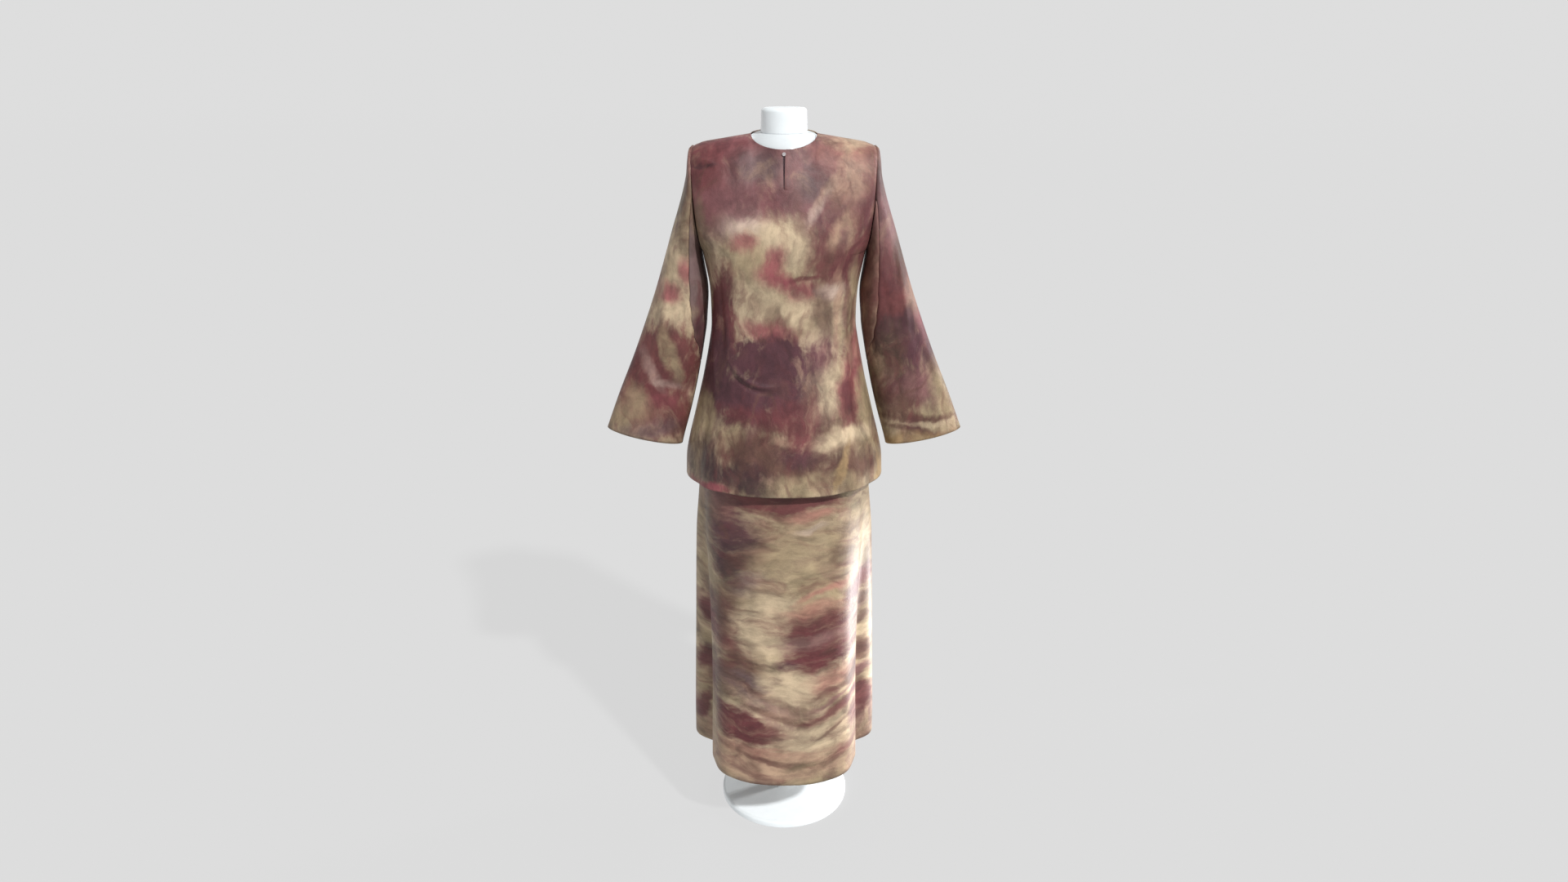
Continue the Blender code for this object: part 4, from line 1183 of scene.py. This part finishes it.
def slit_half(z):
    return (SLIT_TIP + (SLIT_WIDTH - SLIT_TIP) * slit_share(z)) / 2


def slit_depth(z):
    """How deep the slit's edge is turned in."""
    return SLIT_TURN_LOW + (SLIT_TURN_TOP - SLIT_TURN_LOW) * slit_share(z)


def in_slit(z):
    return SLIT_LOW < z < SLIT_TOP


def tunic_panel(name, side, creases, material):
    half = NECK_STEPS + SIDE_STEPS

    def place(column, row):
        count = column - half
        point = body_point(TUNIC, side, share_at(count), row)
        if side == FRONT and 0 < abs(count) <= SLIT_DRAWN_COLUMNS and in_slit(point.z):
            hand = 1 if count > 0 else -1
            if abs(count) == 1:
                point.x = hand * SLIT_TURNED / 2
                point.y += slit_depth(point.z)
            else:
                plain = abs(body_point(TUNIC, side, share_at(2), row).x)
                drawn = slit_half(point.z) - plain
                point.x += hand * drawn * (1.0 - (abs(count) - 2) / SLIT_DRAWN_COLUMNS)
        return point

    def lift(column, row, point):
        count = column - half
        edge = body_point(TUNIC, side, 1.0 if count >= 0 else -1.0, row)
        return crease_height(creases, point.x, point.z) + dip((point - edge).length)

    def eased(point):
        beside = abs(point.x) < SLIT_BESIDE
        near_slit = beside and SLIT_LOW - SLIT_BELOW < point.z < SLIT_TOP + SLIT_ABOVE
        return point.z > EASED_FROM_Z and not (side == FRONT and near_slit)

    def cut(centre):
        return side == FRONT and abs(centre.x) < SLIT_TURNED / 2 and in_slit(centre.z)

    return lay_cloth(
        name, 2 * half, TOP_ROW, place, lift, middle_axis, material, cut=cut, eased=eased
    )


def face_slit(panel, material):
    """Gives the turned-in edges of the slit dark plum, painted shade for the slit's depth."""
    panel.data.materials.append(material)
    for face in panel.data.polygons:
        if in_slit(face.center.z) and abs(face.center.x) < slit_half(face.center.z):
            face.material_index = 1


def sleeve_core(hand):
    def core(height):
        down = 0.0
        while down < 1.0 and along(SLEEVE_RINGS, "outer_z", down) > height + 0.02:
            down += 0.02
        top, low = sleeve_point(hand, down, 0.0), sleeve_point(hand, down, pi)
        return Vector(((top.x + low.x) / 2, 0.0, height))

    return core


def sleeve_down(row):
    """How far down the sleeve a row lies. Rows lie closer together near the armhole."""
    return (row / SLEEVE_ROWS) ** SLEEVE_CROWDING


def sleeve(name, hand, material):
    def place(column, row):
        down = sleeve_down(row)
        limit = pi - gusset_half_angle(down)
        return sleeve_point(hand, down, limit * (2.0 * column / SLEEVE_COLUMNS - 1.0))

    def lift(column, row, point):
        down = sleeve_down(row)
        raised = crease_height(SLEEVE_CREASES, abs(point.x), point.z)
        raised = raised * min(1.0, down / SLEEVE_CREASED_FROM) + dip(down * SLEEVE_LONG)
        if down < GUSSET_END:
            side = min(column, SLEEVE_COLUMNS - column) / SLEEVE_COLUMNS
            raised += dip(side * SLEEVE_ROUND)
        return raised

    core = sleeve_core(hand)
    return lay_cloth(
        name, SLEEVE_COLUMNS, SLEEVE_ROWS, place, lift, core, material, joined=True
    )


def gusset(name, hand, material):
    def place(column, row):
        down = GUSSET_END * (row / GUSSET_ROWS_FINE) * GUSSET_SHORT
        half = gusset_half_angle(down)
        return sleeve_point(hand, down, pi + half * (2.0 * column / GUSSET_COLUMNS - 1.0))

    def lift(column, row, point):
        down = GUSSET_END * row / GUSSET_ROWS_FINE
        side = min(column, GUSSET_COLUMNS - column) / GUSSET_COLUMNS
        return dip(side * GUSSET_ROUND) + dip(down * SLEEVE_LONG)

    core = sleeve_core(hand)
    return lay_cloth(name, GUSSET_COLUMNS, GUSSET_ROWS_FINE, place, lift, core, material)


def skirt_panel(name, side, creases, material):
    low, high = SKIRT_SECTIONS[0].height, SKIRT_SECTIONS[-1].height
    start = pi if side == FRONT else 0.0

    def place(column, row):
        height = low + (high - low) * row / SKIRT_ROWS
        return skirt_point(start + pi * column / SKIRT_COLUMNS, height)

    def lift(column, row, point):
        return crease_height(creases, point.x, point.z) + dip(abs(point.y))

    return lay_cloth(name, SKIRT_COLUMNS, SKIRT_ROWS, place, lift, middle_axis, material)


def waistband(material):
    half = NECK_STEPS + SIDE_STEPS
    count = 4 * half

    def place(column, row):
        side = FRONT if column % count < 2 * half else BACK
        across = column % (2 * half) - half
        share = share_at(across if side == FRONT else -across)
        height = BAND_LOW + (BAND_TOP - BAND_LOW) * row / BAND_ROWS
        x = (along(FORM_SECTIONS, "half_width", height) + BAND_OUT) * share
        y = (along(FORM_SECTIONS, side_depth(side), height) + BAND_OUT) * bow(share)
        return Vector((x, side * y, height))

    def lift(column, row, point):
        return dip(point.z - BAND_LOW)

    return lay_cloth(
        "waistband", count, BAND_ROWS, place, lift, middle_axis, material, joined=True
    )


def dress_form(material):
    """The torso, from the same sections as its solid."""
    half = NECK_STEPS + SIDE_STEPS
    bm = bmesh.new()
    for side in (FRONT, BACK):
        made = bmesh.ops.create_grid(bm, x_segments=half, y_segments=TOP_ROW // 2, size=1.0)
        for vert in made["verts"]:
            share = share_at(round(vert.co.x * half))
            vert.co = body_point(FORM, side, share, round((vert.co.y + 1.0) / 2.0 * TOP_ROW))
    bmesh.ops.remove_doubles(bm, verts=bm.verts, dist=TINY)
    across = NECK_X * FORM_SHOULDER_X / SHOULDER_X + TINY

    def round_the_neck(edge):
        return edge.is_boundary and all(
            abs(vert.co.x) <= across and vert.co.z > CHEST_Z for vert in edge.verts
        )

    rim = [edge for edge in bm.edges if round_the_neck(edge)]
    for share in (0.5, 1.0):
        made = bmesh.ops.extrude_edge_only(bm, edges=rim)
        rim = [item for item in made["geom"] if isinstance(item, bmesh.types.BMEdge)]
        for item in made["geom"]:
            if isinstance(item, bmesh.types.BMVert):
                ring = item.co.xy.normalized() * FORM_NECK_RADIUS
                target = Vector((ring.x, ring.y, FORM_TOP))
                item.co = item.co.lerp(target, share)
    bmesh.ops.holes_fill(bm, edges=[edge for edge in bm.edges if edge.is_boundary], sides=0)
    bmesh.ops.recalc_face_normals(bm, faces=bm.faces)
    item = make_piece("torso", bm, [material])
    item.data.set_sharp_from_angle(angle=FORM_SHARP)
    return item


def turned(name, outline, material, steps=96):
    """A turned piece, from an outline of radius and height that starts and ends on the axis."""
    bm = bmesh.new()
    verts = [bm.verts.new((radius, 0.0, z)) for radius, z in outline]
    edges = [bm.edges.new(pair) for pair in zip(verts, verts[1:])]
    bmesh.ops.spin(
        bm,
        geom=verts + edges,
        cent=(0, 0, 0),
        axis=(0, 0, 1),
        angle=2 * pi,
        steps=steps,
        use_merge=True,
        use_duplicate=False,
    )
    bmesh.ops.remove_doubles(bm, verts=bm.verts, dist=TINY)
    bmesh.ops.recalc_face_normals(bm, faces=bm.faces)
    item = make_piece(name, bm, [material])
    item.data.set_sharp_from_angle(angle=TURNED_SHARP)
    return item


def quarter(radius, z, size, up):
    """Points of a rounded edge, from the side round to the flat."""
    points = []
    for step in range(QUARTER_STEPS + 1):
        turn = pi / 2 * step / QUARTER_STEPS
        points.append((radius - size + size * cos(turn), z + up * (size * sin(turn) - size)))
    return points


def neck_block(material):
    low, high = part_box("form_neck")
    radius = high.x
    lower = [(0.0, low.z), (radius - NECK_BEVEL, low.z), (radius, low.z + NECK_BEVEL)]
    upper = [(radius - NECK_TAPER / 2, (low.z + high.z) / 2)]
    top = [(r - NECK_TAPER, z) for r, z in quarter(radius, high.z, NECK_ROUND, 1)]
    return turned("neck_block", lower + upper + top + [(0.0, high.z)], material)


def round_base(material):
    low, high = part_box("form_base")
    radius = high.x
    under = [(0.0, low.z)] + list(reversed(quarter(radius, low.z, BASE_ROUND_LOW, -1)))
    over = quarter(radius, high.z, BASE_ROUND_TOP, 1)
    return turned("round_base", under + over + [(0.0, high.z)], material, steps=128)


def pole(material):
    low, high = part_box("form_pole")
    radius = high.x
    outline = [(0.0, low.z), (radius, low.z), (radius, high.z), (0.0, high.z)]
    return turned("pole", outline, material, steps=48)


def neck_button(material):
    """A round button with a raised rim, on its solid's place."""
    low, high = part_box("neck_button")
    middle = (low + high) / 2
    radius = (high.x - low.x) / 2
    outline = [(radius * share, z) for share, z in BUTTON_PROFILE]
    item = turned("button", outline, material, steps=40)
    tilt = atan2(high.y - low.y - BUTTON_THICK, high.z - low.z)
    item.data.transform(
        Matrix.Translation(middle) @ Matrix.Rotation(pi / 2 - tilt * 0.5, 4, "X")
    )
    return item


def lay_stage():
    """A pale floor that turns up at its far side, and glows so that hardly a shadow falls on it."""
    bm = bmesh.new()
    bmesh.ops.create_grid(bm, x_segments=1, y_segments=1, size=FLOOR_HALF)
    bm.edges.ensure_lookup_table()
    back_edges = [edge for edge in bm.edges if all(vert.co.y > 0.0 for vert in edge.verts)]
    raised = bmesh.ops.extrude_edge_only(bm, edges=back_edges)["geom"]
    walls = [item for item in raised if isinstance(item, bmesh.types.BMVert)]
    bmesh.ops.translate(bm, verts=walls, vec=(0.0, 0.0, FLOOR_HALF / 2))
    board = Board("floor_pale")
    place = board.add("ShaderNodeTexCoord").outputs["Object"]
    back = board.add("ShaderNodeSeparateXYZ", {0: place}).outputs["Y"]
    glow = board.ramp(
        back, FLOOR_GLOW_FROM, FLOOR_GLOW_TO, FLOOR_GLOW_NEAR, FLOOR_GLOW_FAR
    )
    board.link(glow, "Emission Strength")
    board.shader.inputs["Emission Color"].default_value = (1.0, 1.0, 1.0, 1.0)
    board.shader.inputs["Base Color"].default_value = (FLOOR_GREY, FLOOR_GREY, FLOOR_GREY, 1.0)
    board.set(roughness=1.0)
    board.shader.inputs["Specular IOR Level"].default_value = 0.0
    floor = make_piece("floor", bm, [board.material])


def hang_light(data, towards, place=(0.0, 0.0, 0.0)):
    item = bpy.data.objects.new(data.name, data)
    item.location = place
    item.rotation_mode = "QUATERNION"
    item.rotation_quaternion = towards.to_track_quat("-Z", "Y")
    bpy.context.scene.collection.objects.link(item)


def light_scene():
    """Soft light all round, two suns, and a low lamp for the skirt's right edges."""
    world = bpy.data.worlds.new("studio")
    bpy.context.scene.world = world
    world.use_nodes = True
    background = world.node_tree.nodes["Background"]
    background.inputs["Color"].default_value = (1.0, 1.0, 1.0, 1.0)
    background.inputs["Strength"].default_value = STUDIO_LIGHT

    for sun in SUNS:
        data = bpy.data.lights.new(sun.name, "SUN")
        data.energy = sun.strength
        data.angle = sun.angle
        hang_light(data, Vector(sun.towards))

    lamp = bpy.data.lights.new("low", "SPOT")
    lamp.energy = LAMP_POWER
    lamp.spot_size = LAMP_CONE
    lamp.spot_blend = LAMP_BLEND
    lamp.shadow_soft_size = LAMP_SIZE
    hang_light(lamp, LAMP_AIM - LAMP_PLACE, LAMP_PLACE)


def place_camera():
    data = bpy.data.cameras.new("camera")
    data.lens = CAMERA_LENS
    data.sensor_width = CAMERA_SENSOR
    camera = bpy.data.objects.new("camera", data)
    camera.location = (0.0, -CAMERA_BACK, CAMERA_HEIGHT)
    camera.rotation_euler = (CAMERA_TILT, 0.0, 0.0)
    bpy.context.scene.collection.objects.link(camera)
    bpy.context.scene.camera = camera


def wear(piece, slot, *nodes):
    """A piece rides on the one body in place of its solids; its slot is not used."""
    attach(piece, "root")
    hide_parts(*nodes)


satin_front = dyed_satin(
    "satin_front", TUNIC_FRONT_PATCHES, VERTICAL_CRUSH, (0.0, 0.0, 0.0), TUNIC_HEM
)
satin_back = dyed_satin(
    "satin_back", TUNIC_BACK_PATCHES, VERTICAL_CRUSH, (1.7, 0.4, 0.0), TUNIC_HEM
)
satin_left = dyed_satin("satin_left", SLEEVE_LEFT_PATCHES, VERTICAL_CRUSH, (3.1, 0.0, 0.7))
satin_right = dyed_satin("satin_right", SLEEVE_RIGHT_PATCHES, VERTICAL_CRUSH, (5.3, 0.0, 0.2))
satin_gusset = dyed_satin("satin_gusset", GUSSET_PATCHES, VERTICAL_CRUSH, (7.9, 0.0, 0.0))
satin_skirt = dyed_satin(
    "satin_skirt", SKIRT_FRONT_PATCHES, LEVEL_CRUSH, (9.7, 0.0, 0.3), SKIRT_HEM
)
satin_skirt_back = dyed_satin(
    "satin_skirt_back", SKIRT_BACK_PATCHES, LEVEL_CRUSH, (11.3, 0.0, 0.0), SKIRT_HEM
)
white = gloss_white("form_white", 0.92)
# The torso's white is the form's white made darker: painted shade on its chest.
torso_painted_shade_white = gloss_white("torso_painted_shade_white", 0.74)
button_shell = pearl()

place_camera()
lay_stage()
light_scene()

bodice = tunic_panel("tunic_front_cloth", FRONT, TUNIC_FRONT_CREASES, satin_front)
# The slit's turned-in edges get painted shade in dark plum.
face_slit(bodice, painted_slit_shade())
wear(bodice, "dyed_satin", "tunic_front")
bodice_back = tunic_panel("tunic_back_cloth", BACK, TUNIC_BACK_CREASES, satin_back)
wear(bodice_back, "dyed_satin", "tunic_back")
for word, hand, satin in (("left", -1, satin_left), ("right", 1, satin_right)):
    arm = sleeve("sleeve_%s_cloth" % word, hand, satin)
    wear(arm, "dyed_satin", "sleeve_" + word)
    leaf = gusset("gusset_%s_cloth" % word, hand, satin_gusset)
    wear(leaf, "dyed_satin", "gusset_" + word)

skirt = skirt_panel("skirt_front_cloth", FRONT, SKIRT_FRONT_CREASES, satin_skirt)
wear(skirt, "dyed_satin", "skirt_front")
skirt_rear = skirt_panel("skirt_back_cloth", BACK, SKIRT_BACK_CREASES, satin_skirt_back)
wear(skirt_rear, "dyed_satin", "skirt_back")
band = waistband(satin_skirt)
wear(band, "dyed_satin", "skirt_waistband")

wear(neck_button(button_shell), "pearl_button", "neck_button")
wear(neck_block(white), "gloss_white", "form_neck")
wear(dress_form(torso_painted_shade_white), "gloss_white", "form_torso")
wear(pole(white), "gloss_white", "form_pole")
wear(round_base(white), "gloss_white", "form_base")

bpy.context.scene.view_settings.view_transform = "Standard"
